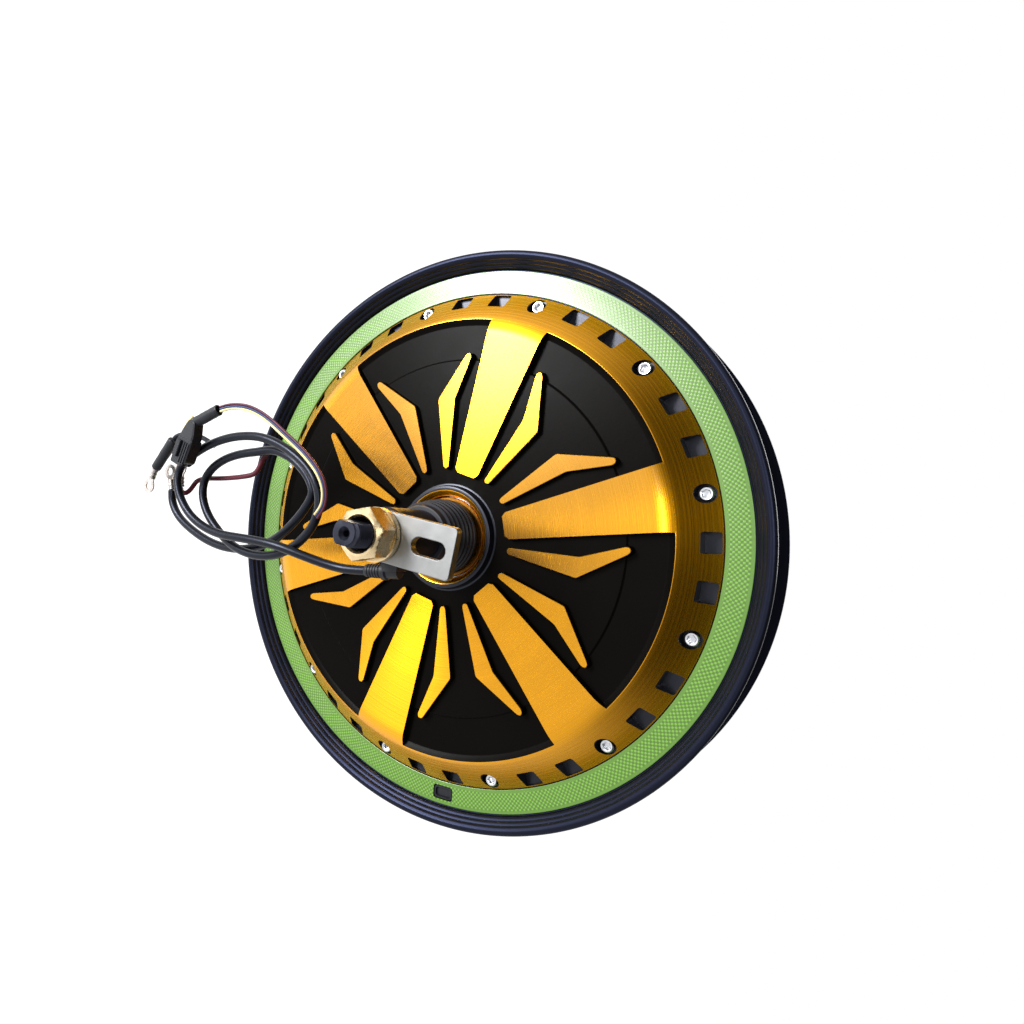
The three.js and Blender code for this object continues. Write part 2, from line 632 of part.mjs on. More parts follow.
// ---------- axle ----------
let axle = solid(
  turned(
    [
      [0, -axleRear], [THREAD_R - 1.2, -axleRear], [THREAD_R, -axleRear + 1.2], [THREAD_R, -REAR_SHOULDER],
      [AXLE_BEARING_R, -REAR_SHOULDER], [AXLE_BEARING_R, -AXLE_SEAT_HALF], [AXLE_SEAT_R, -AXLE_SEAT_HALF],
      [AXLE_SEAT_R, AXLE_SEAT_HALF], [AXLE_BEARING_R, AXLE_SEAT_HALF], [AXLE_BEARING_R, SHAFT_OUT],
      [THREAD_R, SHAFT_OUT], [THREAD_R, axleFront - 1.4], [THREAD_R - 1.4, axleFront], [0, axleFront],
    ],
    SMALL_SEG,
  ),
);
const flatCutters = [];
for (const [low, high] of [[SHAFT_OUT, axleFront + 5], [-axleRear - 5, -REAR_SHOULDER]])
  for (const side of [1, -1])
    flatCutters.push(
      solid(
        box(40, 10, high - low, [0, side * (FLAT_HALF + 5), (low + high) / 2]).rotateZ(rad(PLATE_ANGLE)),
      ),
    );
const centreDrill = (end, side) =>
  solid(
    turned([
      [0, side * (end + 1)], [2.9, side * (end + 1)], [1.5, side * (end - 1.4)],
      [1.5, side * (end - 6)], [0, side * (end - 7)],
    ], 16),
  );
axle = cut(axle, [
  ...flatCutters,
  centreDrill(axleFront, 1),
  centreDrill(axleRear, -1),
  solid(box(SLOT_WIDTH, 12, glandZ + 6 - AXLE_SEAT_HALF + 3, [0, -SLOT_FLOOR - 6,
    (glandZ + 6 + AXLE_SEAT_HALF - 3) / 2])),
]);
put(axleGroup, "axle", geometryOf(axle), "blackSteel");

// the lead that runs in the axle's slot from the windings to the gland
const leadY = -SLOT_FLOOR - SLOT_WIDTH / 2;
put(axleGroup, "internal_lead",
  cylinder(SLOT_WIDTH / 2 - GAP, AXLE_SEAT_HALF + 0.5, glandZ + 2, 8, 0, leadY), "maroon");

// ribbed collar over the bearing, tapering to the spacer
{
  const foot = bearingTopZ + GAP;
  const lift = sealZ + SEAL_THICK + 1.2;
  const profile = [
    [bearingBoreR, foot], [innerRaceR - 0.4, foot], [innerRaceR - 0.4, lift], [COLLAR_BASE_R, lift + 0.6],
  ];
  for (let i = 0; i < COLLAR_RIBS; i++) {
    const z = lift + 1.6 + i * COLLAR_PITCH;
    const r = COLLAR_RIB_R - (i > 1 ? (i - 1) * 0.3 : 0);
    profile.push([COLLAR_BASE_R - 0.2, z], [r, z + 0.8], [r, z + 1.7]);
  }
  profile.push([COLLAR_BASE_R - 2.4, COLLAR_END - 2.6], [COLLAR_BASE_R - 2.4, COLLAR_END - 0.6],
    [COLLAR_BASE_R - 3, COLLAR_END], [bearingBoreR, COLLAR_END]);
  put(axleGroup, "cable_collar", turned(profile, SMALL_SEG), "blackPlastic");
}
const spacer = solid(
  turned([
    [bearingBoreR, COLLAR_END + GAP], [SPACER_R, COLLAR_END + GAP], [SPACER_R, SHAFT_OUT - 0.8],
    [SPACER_R - 0.8, SHAFT_OUT], [bearingBoreR, SHAFT_OUT],
  ], SMALL_SEG),
).subtract(solid(new THREE.CylinderGeometry(CABLE_R, CABLE_R, 12, 12).translate(0, -SPACER_R + 2, glandZ)));
put(axleGroup, "front_spacer", geometryOf(spacer), "blackSteel");
put(axleGroup, "rear_spacer",
  turned([
    [bearingBoreR, -REAR_SHOULDER], [SPACER_R, -REAR_SHOULDER], [SPACER_R, -(sealZ + SEAL_THICK + 1.5)],
    [innerRaceR - 0.4, -(sealZ + SEAL_THICK + 1)], [innerRaceR - 0.4, -(bearingTopZ + GAP)],
    [bearingBoreR, -(bearingTopZ + GAP)],
  ], SMALL_SEG), "blackSteel");

// gland: a saddle on the spacer with a round neck that lets the cable out sideways
const glandEndX = -GLAND_LENGTH;
const gland = cut(
  joined([
    solid(new THREE.CylinderGeometry(GLAND_R, GLAND_R, GLAND_LENGTH + 3, 16).rotateZ(Math.PI / 2)
      .translate((3 + glandEndX) / 2, -GLAND_DROP, glandZ)),
    solid(box(8, GLAND_DROP - 8, 9, [0, -(GLAND_DROP + 8) / 2, glandZ])),
    solid(new THREE.CylinderGeometry(GLAND_R + 0.7, GLAND_R + 0.7, 2.4, 16).rotateZ(Math.PI / 2)
      .translate(glandEndX + 2.4, -GLAND_DROP, glandZ)),
  ]),
  [
    solid(ring(0, SPACER_R + GAP, glandZ - 20, glandZ + 20, SMALL_SEG)),
    solid(new THREE.CylinderGeometry(CABLE_R + GAP, CABLE_R + GAP, 8, 16).rotateZ(Math.PI / 2)
      .translate(glandEndX - 0.5, -GLAND_DROP, glandZ)),
  ],
);
put(axleGroup, "cable_gland", geometryOf(gland), "blackPlastic");

// ---------- torque plate, washers and nuts ----------
// A round hole with two flats, to fit over the axle.
const doubleD = (r, half) => {
  const points = [];
  const open = THREE.MathUtils.radToDeg(Math.acos(half / r));
  for (const from of [0, 180])
    for (let i = 0; i <= 6; i++) points.push(polar(r, from + open + (i * (180 - 2 * open)) / 6));
  return points;
};
{
  const half = PLATE_WIDTH / 2;
  const c = 2;
  const outline = [
    [PLATE_REACH - c, -half], [PLATE_REACH - 0.6, -half + 0.6], [PLATE_REACH, -half + c],
    [PLATE_REACH, half - c], [PLATE_REACH - 0.6, half - 0.6], [PLATE_REACH - c, half],
  ];
  for (let degrees = 0; degrees >= -180; degrees -= 22.5) {
    const [x, y] = polar(half, degrees);
    outline.push([x * (PLATE_BACK / half), y]);
  }
  const slotHalf = PLATE_SLOT_WIDE / 2;
  const straight = PLATE_SLOT_LONG / 2 - slotHalf;
  const slot = [];
  for (const [sign, from] of [[1, 0], [-1, 180]])
    for (let i = 0; i <= 6; i++) {
      const [x, y] = polar(slotHalf, from + 30 * i);
      slot.push([PLATE_SLOT_AT + sign * straight + x, y]);
    }
  const plate = prism(outline, SHAFT_OUT + GAP, SHAFT_OUT + GAP + PLATE_THICK,
    [slot, doubleD(THREAD_R + GAP, FLAT_HALF + GAP)]);
  put(axleGroup, "torque_plate", plate.rotateZ(rad(PLATE_ANGLE)), "zinc");
}
const nutGeometry = () => {
  const body = solid(prism(circle(NUT_FLATS / Math.sqrt(3), 6), 0, NUT_HEIGHT));
  const corner = NUT_FLATS / Math.sqrt(3);
  const dome = solid(
    turned([
      [0, -1], [NUT_FLATS / 2, -1], [corner + 0.3, 0.9], [corner + 0.3, NUT_HEIGHT - 0.9],
      [NUT_FLATS / 2 - 0.2, NUT_HEIGHT], [0, NUT_HEIGHT],
    ], 12),
  );
  const hole = solid(
    turned([
      [0, -1], [THREAD_R + GAP, -1], [THREAD_R + GAP, NUT_HEIGHT + 0.3], [0, NUT_HEIGHT + 0.3],
    ], SMALL_SEG),
  );
  return geometryOf(body.intersect(dome).subtract(hole));
};
const washerGeometry = () => ring(THREAD_R + GAP, WASHER_R, 0, WASHER_THICK, SMALL_SEG);
put(axleGroup, "front_washer", washerGeometry(), "yellowZinc").position.set(0, 0, washerZ);
const frontNut = put(axleGroup, "front_nut", nutGeometry(), "yellowZinc");
frontNut.position.set(0, 0, nutZ);
frontNut.rotation.z = rad(8);
put(axleGroup, "rear_washer", washerGeometry(), "yellowZinc")
  .position.set(0, 0, -(REAR_SHOULDER + GAP + WASHER_THICK));
const rearNut = put(axleGroup, "rear_nut", nutGeometry(), "yellowZinc");
rearNut.rotation.set(Math.PI, 0, 0);
rearNut.position.set(0, 0, -rearNutZ);

// ---------- motor cable and its end pieces ----------
const cable = new THREE.Group();
axleGroup.add(cable);
const vectors = (points) => points.map(([x, y, z]) => new THREE.Vector3(x, y, z));
// A round cord along a smooth line through its points.
function cordGeometry(points, r, sides, steps) {
  const path = new THREE.CatmullRomCurve3(vectors(points), false, "centripetal");
  return new THREE.ExtrudeGeometry(shapeOf(circle(r, sides).reverse()), {
    steps,
    extrudePath: path,
    bevelEnabled: false,
  });
}
const CABLE_POINTS = [
  [-11.9, -16, 76], [-20.5, -16, 76.3], [-29.4, -15.3, 77.0], [-39.2, -12.9, 79.0], [-49.8, -9.4, 82.0],
  [-61.2, -5.7, 84.5],
  [-74.3, -3.3, 85.5], [-86.4, -1.8, 86.0], [-98.4, -0.3, 86.0], [-110.0, 3.1, 86.0], [-120.4, 8.9, 86.0],
  [-127.3, 16.1, 86.0], [-131.3, 23.8, 86.0], [-132.2, 31.5, 85.5], [-128.8, 37.4, 85.0], [-121.2, 42.1, 84.0],
  [-111.1, 46.1, 83.5], [-99.2, 48.7, 83.0], [-87.6, 49.3, 82.5], [-75.8, 47.9, 82.5], [-64.9, 44.1, 82.0],
  [-53.8, 37.9, 82.0], [-45.6, 31.0, 81.5], [-40.5, 23.4, 81.5], [-39.2, 16.1, 81.0], [-40.3, 8.8, 81.0],
  [-45.2, 1.8, 80.5], [-53.4, -4.7, 80.0], [-64.2, -9.4, 80.0], [-76.4, -10.7, 80.0], [-88.1, -8.9, 80.0],
  [-98.9, -4.6, 79.5], [-107.9, 2.0, 79.0], [-115.7, 10.2, 79.0], [-120.4, 19.4, 78.5], [-120.2, 27.8, 78.0],
  [-115.0, 34.5, 77.5], [-106.1, 39.0, 77.0], [-94.8, 41.1, 77.0], [-83.3, 41.7, 76.5], [-74.0, 42.1, 76.0],
  [-64.5, 39.1, 76.0], [-56.1, 33.7, 76.0], [-50.5, 27.3, 75.5], [-47.6, 20.3, 75.5], [-51.9, 13.6, 75.0],
  [-59.8, 5.7, 75.0], [-72.2, -2.4, 74.5], [-87.1, -6.9, 74.0], [-102.3, -7.5, 74.0], [-117.2, -4.7, 74.0],
  [-132.4, 1.7, 73.8], [-144.9, 9.9, 73.6], [-150.2, 17.9, 73.5], [-150.8, 24.2, 73.5],
];
const HALL_POINTS = [
  [-96.0, 62.3, 91.0], [-90.5, 63.3, 89.8], [-81.7, 62.5, 88.4], [-72.9, 59.2, 88.0], [-64.3, 54.0, 88.0],
  [-56.4, 47.8, 87.7], [-48.2, 41.5, 87.5], [-41.1, 35.1, 87.2], [-35.0, 28.1, 87.0], [-31.9, 20.8, 86.7],
  [-33.0, 13.4, 85.8], [-37.9, 8.3, 84.8],
];
const PHASE_POINTS = [
  [-134.9, 24.8, 81.0], [-134.7, 22.8, 80.8], [-132.9, 21.8, 79.4], [-131.3, 24.3, 77.0], [-130.1, 28.3, 74.6],
  [-125.6, 29.8, 73.4],
  [-112.2, 29.5, 73.0], [-96.3, 29.9, 73.0], [-89.2, 31.3, 72.0], [-86.3, 35.3, 71.4], [-83.9, 39.9, 71.0],
  [-78.6, 42.9, 71.0], [-70.8, 40.7, 71.0], [-63.7, 36.3, 71.5], [-58.0, 31.1, 71.7], [-51.9, 26.0, 71.8],
];
const SECOND_PHASE_POINTS = [
  [-142.8, 51.4, 80.0], [-141.3, 52.9, 79.9], [-135.5, 54.2, 78.8], [-124, 52, 78.5],
  [-116, 48.6, 79.0], [-111.5, 46.2, 79.5],
];
// the cords and what is on them stay with the gland's mouth
cable.position.set(glandEndX + 3.1 - CABLE_POINTS[0][0], -GLAND_DROP - CABLE_POINTS[0][1],
  glandZ - CABLE_POINTS[0][2]);
put(cable, "motor_cable", cordGeometry(CABLE_POINTS, CABLE_R, 8, 50), "blackPlastic");
put(cable, "hall_wires", cordGeometry(HALL_POINTS, 1.5, 8, 13), "maroon");
put(cable, "phase_wire", cordGeometry(PHASE_POINTS, 1.3, 8, 18), "maroon");
put(cable, "second_phase_wire", cordGeometry(SECOND_PHASE_POINTS, 1.3, 8, 5), "blackPlastic");

// A straight round piece from one point to another, along x before it is placed.
function along(mesh, from, to) {
  const [a, b] = vectors([from, to]);
  mesh.position.copy(a);
  mesh.quaternion.setFromUnitVectors(new THREE.Vector3(1, 0, 0), b.clone().sub(a).normalize());
  return a.distanceTo(b);
}
// the sensor plug: a flat housing with a round sleeve over its wires
const PLUG_SLEEVE = [[-96.6, 62.1, 91.0], [-112.5, 56.9, 91.5]];
const PLUG_BODY = [[-112.2, 57.8, 91.5], [-122.9, 35.4, 91.5]];
{
  const lengthOf = ([a, b]) => vectors([a])[0].distanceTo(vectors([b])[0]);
  const holder = new THREE.Group();
  const sleeve = new THREE.Mesh(new THREE.CylinderGeometry(2.9, 2.9, lengthOf(PLUG_SLEEVE), 12)
    .rotateZ(Math.PI / 2).translate(lengthOf(PLUG_SLEEVE) / 2, 0, 0));
  const long = lengthOf(PLUG_BODY);
  const body = new THREE.Mesh(new THREE.BoxGeometry(long, 11.4, 7.4).translate(long / 2, 0, 0));
  const latch = new THREE.Mesh(new THREE.BoxGeometry(9, 4, 2.4).translate(long * 0.62, -1, 4.2));
  holder.add(sleeve, body, latch);
  along(sleeve, ...PLUG_SLEEVE);
  along(body, ...PLUG_BODY);
  along(latch, ...PLUG_BODY);
  const parts = [sleeve, body, latch].map((mesh) => {
    mesh.updateMatrix();
    return solid(mesh.geometry.clone().applyMatrix4(mesh.matrix));
  });
  // the wires enter the sleeve through a shallow socket
  const socket = new THREE.Mesh(new THREE.CylinderGeometry(1.9, 1.9, 6, 12).rotateZ(Math.PI / 2));
  along(socket, ...PLUG_SLEEVE);
  socket.updateMatrix();
  const mouth = solid(socket.geometry.clone().applyMatrix4(socket.matrix));
  put(cable, "hall_plug", geometryOf(joined(parts).subtract(mouth)), "blackPlastic");
}
// ring terminals: a crimped barrel and a flat ring, drawn along x from the wire's end
const TERMINAL_LENGTH = 10.5;
function terminalGeometry() {
  const eye = prism(circle(4.1, 12), -0.4, 0.4, [circle(2.1, 8).reverse()]).translate(TERMINAL_LENGTH, 0, 0);
  const neck = new THREE.BoxGeometry(4.4, 3, 0.8).translate(TERMINAL_LENGTH - 4.9, 0, 0);
  const barrel = new THREE.CylinderGeometry(1.9, 1.9, 5.4, 8).rotateZ(Math.PI / 2).translate(2.9, 0, 0);
  return geometryOf(joined([solid(eye), solid(neck), solid(barrel)]));
}
const TERMINALS = [
  [[-157.3, 35.9, 80], [-162.6, 26.7, 80]],
  [[-134.9, 25.0, 81], [-135.3, 35.0, 81]],
  [[-150.8, 24.5, 73.5], [-152.6, 34.5, 73.5]],
];
TERMINALS.forEach(([from, to], i) =>
  along(put(cable, `ring_terminal_${i + 1}`, terminalGeometry(), "zinc"), from, to));
const SLEEVE = [[-157.2, 36.4, 80], [-143.1, 51.0, 80]];
const sleeveMesh = put(cable, "terminal_sleeve", new THREE.BufferGeometry(), "blackPlastic");
const sleeveLength = along(sleeveMesh, ...SLEEVE);
sleeveMesh.geometry = new THREE.CylinderGeometry(3, 2.7, sleeveLength, 12)
  .rotateZ(Math.PI / 2).translate(sleeveLength / 2, 0, 0);

// ---------- the part's own frame ----------
// face +x becomes +Z, face +y becomes -X, and the machined cover looks along -Y
motor.quaternion.setFromRotationMatrix(
  new THREE.Matrix4().makeBasis(
    new THREE.Vector3(0, 0, 1), new THREE.Vector3(-1, 0, 0), new THREE.Vector3(0, -1, 0),
  ),
);

export default motor;
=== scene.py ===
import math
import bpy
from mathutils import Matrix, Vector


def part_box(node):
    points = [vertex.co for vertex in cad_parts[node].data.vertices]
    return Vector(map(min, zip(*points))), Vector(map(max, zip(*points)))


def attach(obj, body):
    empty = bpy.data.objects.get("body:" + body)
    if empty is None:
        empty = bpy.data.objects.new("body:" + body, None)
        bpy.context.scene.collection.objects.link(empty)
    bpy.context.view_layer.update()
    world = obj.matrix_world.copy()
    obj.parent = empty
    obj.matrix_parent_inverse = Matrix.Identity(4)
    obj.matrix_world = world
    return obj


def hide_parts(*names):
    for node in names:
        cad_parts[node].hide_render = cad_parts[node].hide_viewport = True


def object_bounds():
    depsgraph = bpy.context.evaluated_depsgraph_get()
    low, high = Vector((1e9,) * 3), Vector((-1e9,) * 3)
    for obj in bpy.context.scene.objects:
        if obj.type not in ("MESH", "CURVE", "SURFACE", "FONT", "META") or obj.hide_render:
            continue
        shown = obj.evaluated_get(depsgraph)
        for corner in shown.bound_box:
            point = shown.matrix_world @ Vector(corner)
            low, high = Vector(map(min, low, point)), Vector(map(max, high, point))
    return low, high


bl_info = {
    "name": "Hub Motor Wheel",
    "version": (1, 0, 0),
    "blender": (4, 5, 0),
    "location": "View3D > Sidebar > Hub Motor",
    "description": "Builds a hub motor wheel with its gold spoked cover, axle and motor cable",
    "category": "Object",
}

import bmesh
import bpy
from bpy.props import FloatProperty, FloatVectorProperty, PointerProperty
from mathutils import Vector

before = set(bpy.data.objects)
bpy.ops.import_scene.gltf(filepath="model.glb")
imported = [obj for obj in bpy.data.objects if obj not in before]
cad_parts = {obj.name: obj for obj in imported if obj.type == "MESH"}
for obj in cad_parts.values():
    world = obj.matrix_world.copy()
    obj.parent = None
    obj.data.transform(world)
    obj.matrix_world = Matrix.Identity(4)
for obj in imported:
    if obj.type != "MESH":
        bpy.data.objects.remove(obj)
CAD_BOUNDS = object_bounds()

# ---------------------------------------------------------------------------
# Places and sizes
#
# The pieces are drawn in a face frame, in millimetres: x and y lie in the machined face, and a runs
# out of it along the axle, from the middle plane of the rim. The part stands with x upwards, so the
# axle lies level and the cable hangs below it.
# ---------------------------------------------------------------------------

MM = 0.001
RING_STEPS = 288  # facets round the large turned pieces
HUB_STEPS = 96  # facets round the pieces on the axle
SCREW_STEPS = 48  # facets round a screw
NUT_STEPS = 144  # facets round an axle nut
WIRE_STEPS = 32  # facets round the small pieces on the wires
WHEEL_TURN = 20.7  # the first spoke at rest, degrees clockwise from the face frame's y


def in_part(x, y, a, turn=0.0):
    """A point of the face frame, turned clockwise about the axle, as a point of the part in metres."""
    c, s = math.cos(math.radians(turn)), math.sin(math.radians(turn))
    x, y = x * c + y * s, y * c - x * s
    return Vector((-y, -a, x)) * MM


def along_axle(node):
    """The lowest and highest a of a CAD node, in millimetres."""
    low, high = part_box(node)
    return -high[1] / MM, -low[1] / MM


def half_across(node):
    """Half of a round CAD node's size across the axle, in millimetres."""
    low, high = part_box(node)
    return (high[0] - low[0]) / 2 / MM


def polar(r, degrees):
    """A point on a circle, measured clockwise from y."""
    return r * math.sin(math.radians(degrees)), r * math.cos(math.radians(degrees))


# ---------------------------------------------------------------------------
# Settings
# ---------------------------------------------------------------------------


def linear(hex_colour):
    """An sRGB hex colour as linear red, green, blue and a full alpha."""
    parts = [int(hex_colour[i : i + 2], 16) / 255 for i in (0, 2, 4)]
    return (*[p / 12.92 if p <= 0.04045 else ((p + 0.055) / 1.055) ** 2.4 for p in parts], 1.0)


def length_setting(name, description, millimetres):
    """A length that the user can change, given in millimetres."""
    return FloatProperty(
        name=name, description=description, default=millimetres * MM, unit="LENGTH", min=0.0, precision=5
    )


def colour_setting(name, description, hex_colour):
    """A colour that the user can change, given as sRGB hex."""
    return FloatVectorProperty(
        name=name,
        description=description,
        default=linear(hex_colour),
        size=4,
        subtype="COLOR",
        min=0.0,
        max=1.0,
    )


class HubMotorRimSettings(bpy.types.PropertyGroup):
    lip_radius: length_setting("Lip radius", "Outer radius of the rim's lips", half_across("front_flange"))
    lip_height: length_setting("Lip height", "Half the width over the lips", along_axle("front_flange")[1])
    ridge_height: length_setting("Ridge height", "Steps turned into the flange's face", 0.45)
    paint: colour_setting("Paint", "Gloss black of the rim", "0b0c12")


class HubMotorBandSettings(bpy.types.PropertyGroup):
    inner_radius: length_setting("Inner radius", "Inner edge of the reflective band", 123.9)
    width: length_setting("Width", "Radial width of the band", 11.3)
    cell_pitch: length_setting("Cell pitch", "Spacing of the embossed cells", 2.1)
    colour: colour_setting("Colour", "Lime green of the reflective tape", "5c8a27")


class HubMotorCoverSettings(bpy.types.PropertyGroup):
    edge_radius: length_setting("Edge radius", "Outer radius of the cover", 123.3)
    face_height: length_setting("Face height", "Spokes' turned face above the middle plane", 32.0)
    panel_depth: length_setting("Panel depth", "Depth of the black panels below the face", 4.0)
    arc_radius: length_setting("Panel radius", "Outer arc of the black panels", 107.5)
    spoke_inner: length_setting("Spoke inner width", "Width of a spoke near the boss", 12.6)
    spoke_outer: length_setting("Spoke outer width", "Width of a spoke at the ring", 29.2)
    gold: colour_setting("Gold lacquer", "Colour of the lacquered, turned metal", "e59e08")
    black: colour_setting("Black paint", "Satin black of the panels", "070605")


class HubMotorAxleSettings(bpy.types.PropertyGroup):
    thread_radius: length_setting("Thread radius", "Outer radius of the axle's thread", 7.0)
    thread_pitch: length_setting("Thread pitch", "Advance of the thread in one turn", 1.5)
    across_flats: length_setting("Across flats", "Thickness of the axle's flattened ends", 10.0)
    nut_flats: length_setting("Nut size", "Axle nut across its flats", 21.0)
    colour: colour_setting("Oxide", "Black oxide of the axle and spacers", "23242b")


class HubMotorPlateSettings(bpy.types.PropertyGroup):
    width: length_setting("Width", "Width of the torque plate", 22.0)
    reach: length_setting("Reach", "From the axle to the plate's end", 37.5)
    slot_length: length_setting("Slot length", "Length of the plate's slot", 16.4)
    slot_width: length_setting("Slot width", "Width of the plate's slot", 7.3)
    zinc: colour_setting("Zinc", "Clear zinc of the plate", "8e8f8f")
    yellow_zinc: colour_setting("Yellow zinc", "Pale yellow zinc of nuts and washers", "ecdcb4")


class HubMotorCordSettings(bpy.types.PropertyGroup):
    cable_diameter: length_setting("Cable diameter", "Jacket of the motor cable", 4.4)
    phase_diameter: length_setting("Phase wire diameter", "Insulation of a phase wire", 2.6)
    sensor_diameter: length_setting("Sensor wire diameter", "Insulation of a sensor wire", 1.2)
    jacket: colour_setting("Jacket", "Black of the cable's jacket", "08090d")
    red_wire: colour_setting("Red wire", "Dark red insulation", "4e1c24")
    blue_wire: colour_setting("Blue wire", "Dark blue insulation", "2a3558")
    cream_wire: colour_setting("Cream wire", "Cream insulation", "dcc88c")


class HubMotorStageSettings(bpy.types.PropertyGroup):
    lens: FloatProperty(name="Lens", description="Focal length on a 36 mm sensor, in mm", default=26.64)
    key_power: FloatProperty(name="Key lamp", description="Key softbox, in watts", default=12.0)
    fill_power: FloatProperty(name="Fill lamps", description="Fill softboxes, in watts", default=4.0)
    backdrop: colour_setting("Backdrop", "Floor and background", "ffffff")


class HubMotorSettings(bpy.types.PropertyGroup):
    rim: PointerProperty(type=HubMotorRimSettings)
    band: PointerProperty(type=HubMotorBandSettings)
    cover: PointerProperty(type=HubMotorCoverSettings)
    axle: PointerProperty(type=HubMotorAxleSettings)
    plate: PointerProperty(type=HubMotorPlateSettings)
    cords: PointerProperty(type=HubMotorCordSettings)
    stage: PointerProperty(type=HubMotorStageSettings)


# ---------------------------------------------------------------------------
# Mesh helpers
# ---------------------------------------------------------------------------


class Shape:
    """Points of the face frame in millimetres, with faces and one material number for each face."""

    def __init__(self):
        self.points, self.faces, self.kinds = [], [], []

    def add(self, points, faces, kinds):
        """Takes in more points, and faces numbered from the first of them."""
        start = len(self.points)
        self.points += [tuple(p) for p in points]
        self.faces += [[start + i for i in face] for face in faces]
        self.kinds += kinds
        return self

    def join(self, other):
        """Takes in another shape as it stands."""
        return self.add(other.points, other.faces, other.kinds)

    def mapped(self, change):
        """A copy whose every point has gone through change(x, y, a)."""
        return Shape().add([change(*p) for p in self.points], self.faces, self.kinds)

    def around(self, count, phase=0.0):
        """Copies of the shape, spaced evenly round the axle."""
        result = Shape()
        for i in range(count):
            angle = math.radians(phase + 360 * i / count)
            c, s = math.cos(angle), math.sin(angle)
            result.join(self.mapped(lambda x, y, a: (x * c + y * s, y * c - x * s, a)))
        return result


def mirrored(profile, side):
    """A profile for the front, 1, or turned over for the rear, -1."""
    return [(r, side * a) for r, a in profile]


def turned(profile, count, kinds=None, closed=True):
    """A shape turned about the axle from [radius, a] points. A radius may be a function of the angle."""
    shape, rows = Shape(), []
    for r, a in profile:
        if not callable(r) and r < 1e-6:
            rows.append([len(shape.points)])
            shape.points.append((0.0, 0.0, a))
            continue
        rows.append(range(len(shape.points), len(shape.points) + count))
        for i in range(count):
            degrees = 360 * i / count
            shape.points.append((*polar(r(degrees) if callable(r) else r, degrees), a))
    following = rows[1:] + ([rows[0]] if closed else [])
    for k, (near, far) in enumerate(zip(rows, following)):
        for i in range(count):
            j = (i + 1) % count
            corners = [near[i % len(near)], near[j % len(near)], far[j % len(far)], far[i % len(far)]]
            face = list(dict.fromkeys(corners))
            if len(face) > 2:
                shape.faces.append(face)
                shape.kinds.append(kinds[k] if kinds else 0)
    return shape


def lofted(sections, side=0, top=0):
    """A closed shape through outlines of equally many points: sections are (outline, a) pairs.

    The foot and the lowest band of faces take the finish side, and the faces above them top.
    """
    count = len(sections[0][0])
    points = [(x, y, a) for outline, a in sections for x, y in outline]
    faces, kinds = [list(range(count))[::-1]], [side]
    for k in range(len(sections) - 1):
        for i in range(count):
            j, low = (i + 1) % count, k * count
            faces.append([low + i, low + j, low + count + j, low + count + i])
            kinds.append(side if k == 0 or len(sections) == 2 else top)
    faces.append(list(range((len(sections) - 1) * count, len(sections) * count)))
    kinds.append(top)
    return Shape().add(points, faces, kinds)


def grown(outline, distance):
    """The outline with every side moved outwards by a distance."""
    turn = sum(x * v - u * y for (x, y), (u, v) in zip(outline, outline[1:] + outline[:1]))
    sign = 1 if turn > 0 else -1
    result = []
    for i, (x, y) in enumerate(outline):
        normals = []
        for (px, py), (qx, qy) in ((outline[i - 1], (x, y)), ((x, y), outline[(i + 1) % len(outline)])):
            length = math.hypot(qx - px, qy - py) or 1
            normals.append((sign * (qy - py) / length, -sign * (qx - px) / length))
        (ax, ay), (bx, by) = normals
        scale = distance / max(1 + ax * bx + ay * by, 0.4)
        result.append((x + (ax + bx) * scale, y + (ay + by) * scale))
    return result


def rounded(corners, radius, steps=4):
    """The outline with each corner eased into a curve."""
    result = []
    for i, corner in enumerate(corners):
        p = Vector(corner)
        before, after = Vector(corners[i - 1]) - p, Vector(corners[(i + 1) % len(corners)]) - p
        start = p + before.normalized() * min(radius, before.length * 0.45)
        end = p + after.normalized() * min(radius, after.length * 0.45)
        for k in range(steps + 1):
            t = k / steps
            result.append(tuple(start * (1 - t) ** 2 + p * 2 * t * (1 - t) + end * t * t))
    return result


def circle(r, count, cx=0.0, cy=0.0):
    """A round outline. Its points stand half a step off y, clear of the turned pieces' own edges."""
    places = [polar(r, 360 * (i + 0.5) / count) for i in range(count)]
    return [(cx + x, cy + y) for x, y in places]


def oblong(cx, cy, long, wide, steps=12):
    """A slot's outline: two half circles and two straight sides, long in x."""
    result = []
    for sign, start in ((1, 0), (-1, 180)):
        for i in range(steps + 1):
            x, y = polar(wide / 2, start + 180 * i / steps)
            result.append((cx + sign * (long - wide) / 2 + x, cy + y))
    return result


def rectangle(wide, high, cx=0.0, cy=0.0):
    """A rectangle's outline about its middle."""
    return [(cx + sx * wide / 2, cy + sy * high / 2) for sx, sy in ((-1, -1), (1, -1), (1, 1), (-1, 1))]


def mesh_object(name, shape, materials, turn=0.0):
    """A Blender object of a shape, with its normals outwards."""
    mesh = bpy.data.meshes.new(name)
    mesh.from_pydata([in_part(*p, turn) for p in shape.points], [], shape.faces)
    for material in materials:
        mesh.materials.append(material)
    mesh.polygons.foreach_set("material_index", shape.kinds)
    work = bmesh.new()
    work.from_mesh(mesh)
    bmesh.ops.recalc_face_normals(work, faces=work.faces)
    work.to_mesh(mesh)
    work.free()
    piece = bpy.data.objects.new(name, mesh)
    bpy.context.scene.collection.objects.link(piece)
    return piece


FEWEST_FACES = 4  # a closed solid has no fewer
BEVEL_ANGLE = 35.0  # edges sharper than this are eased, degrees


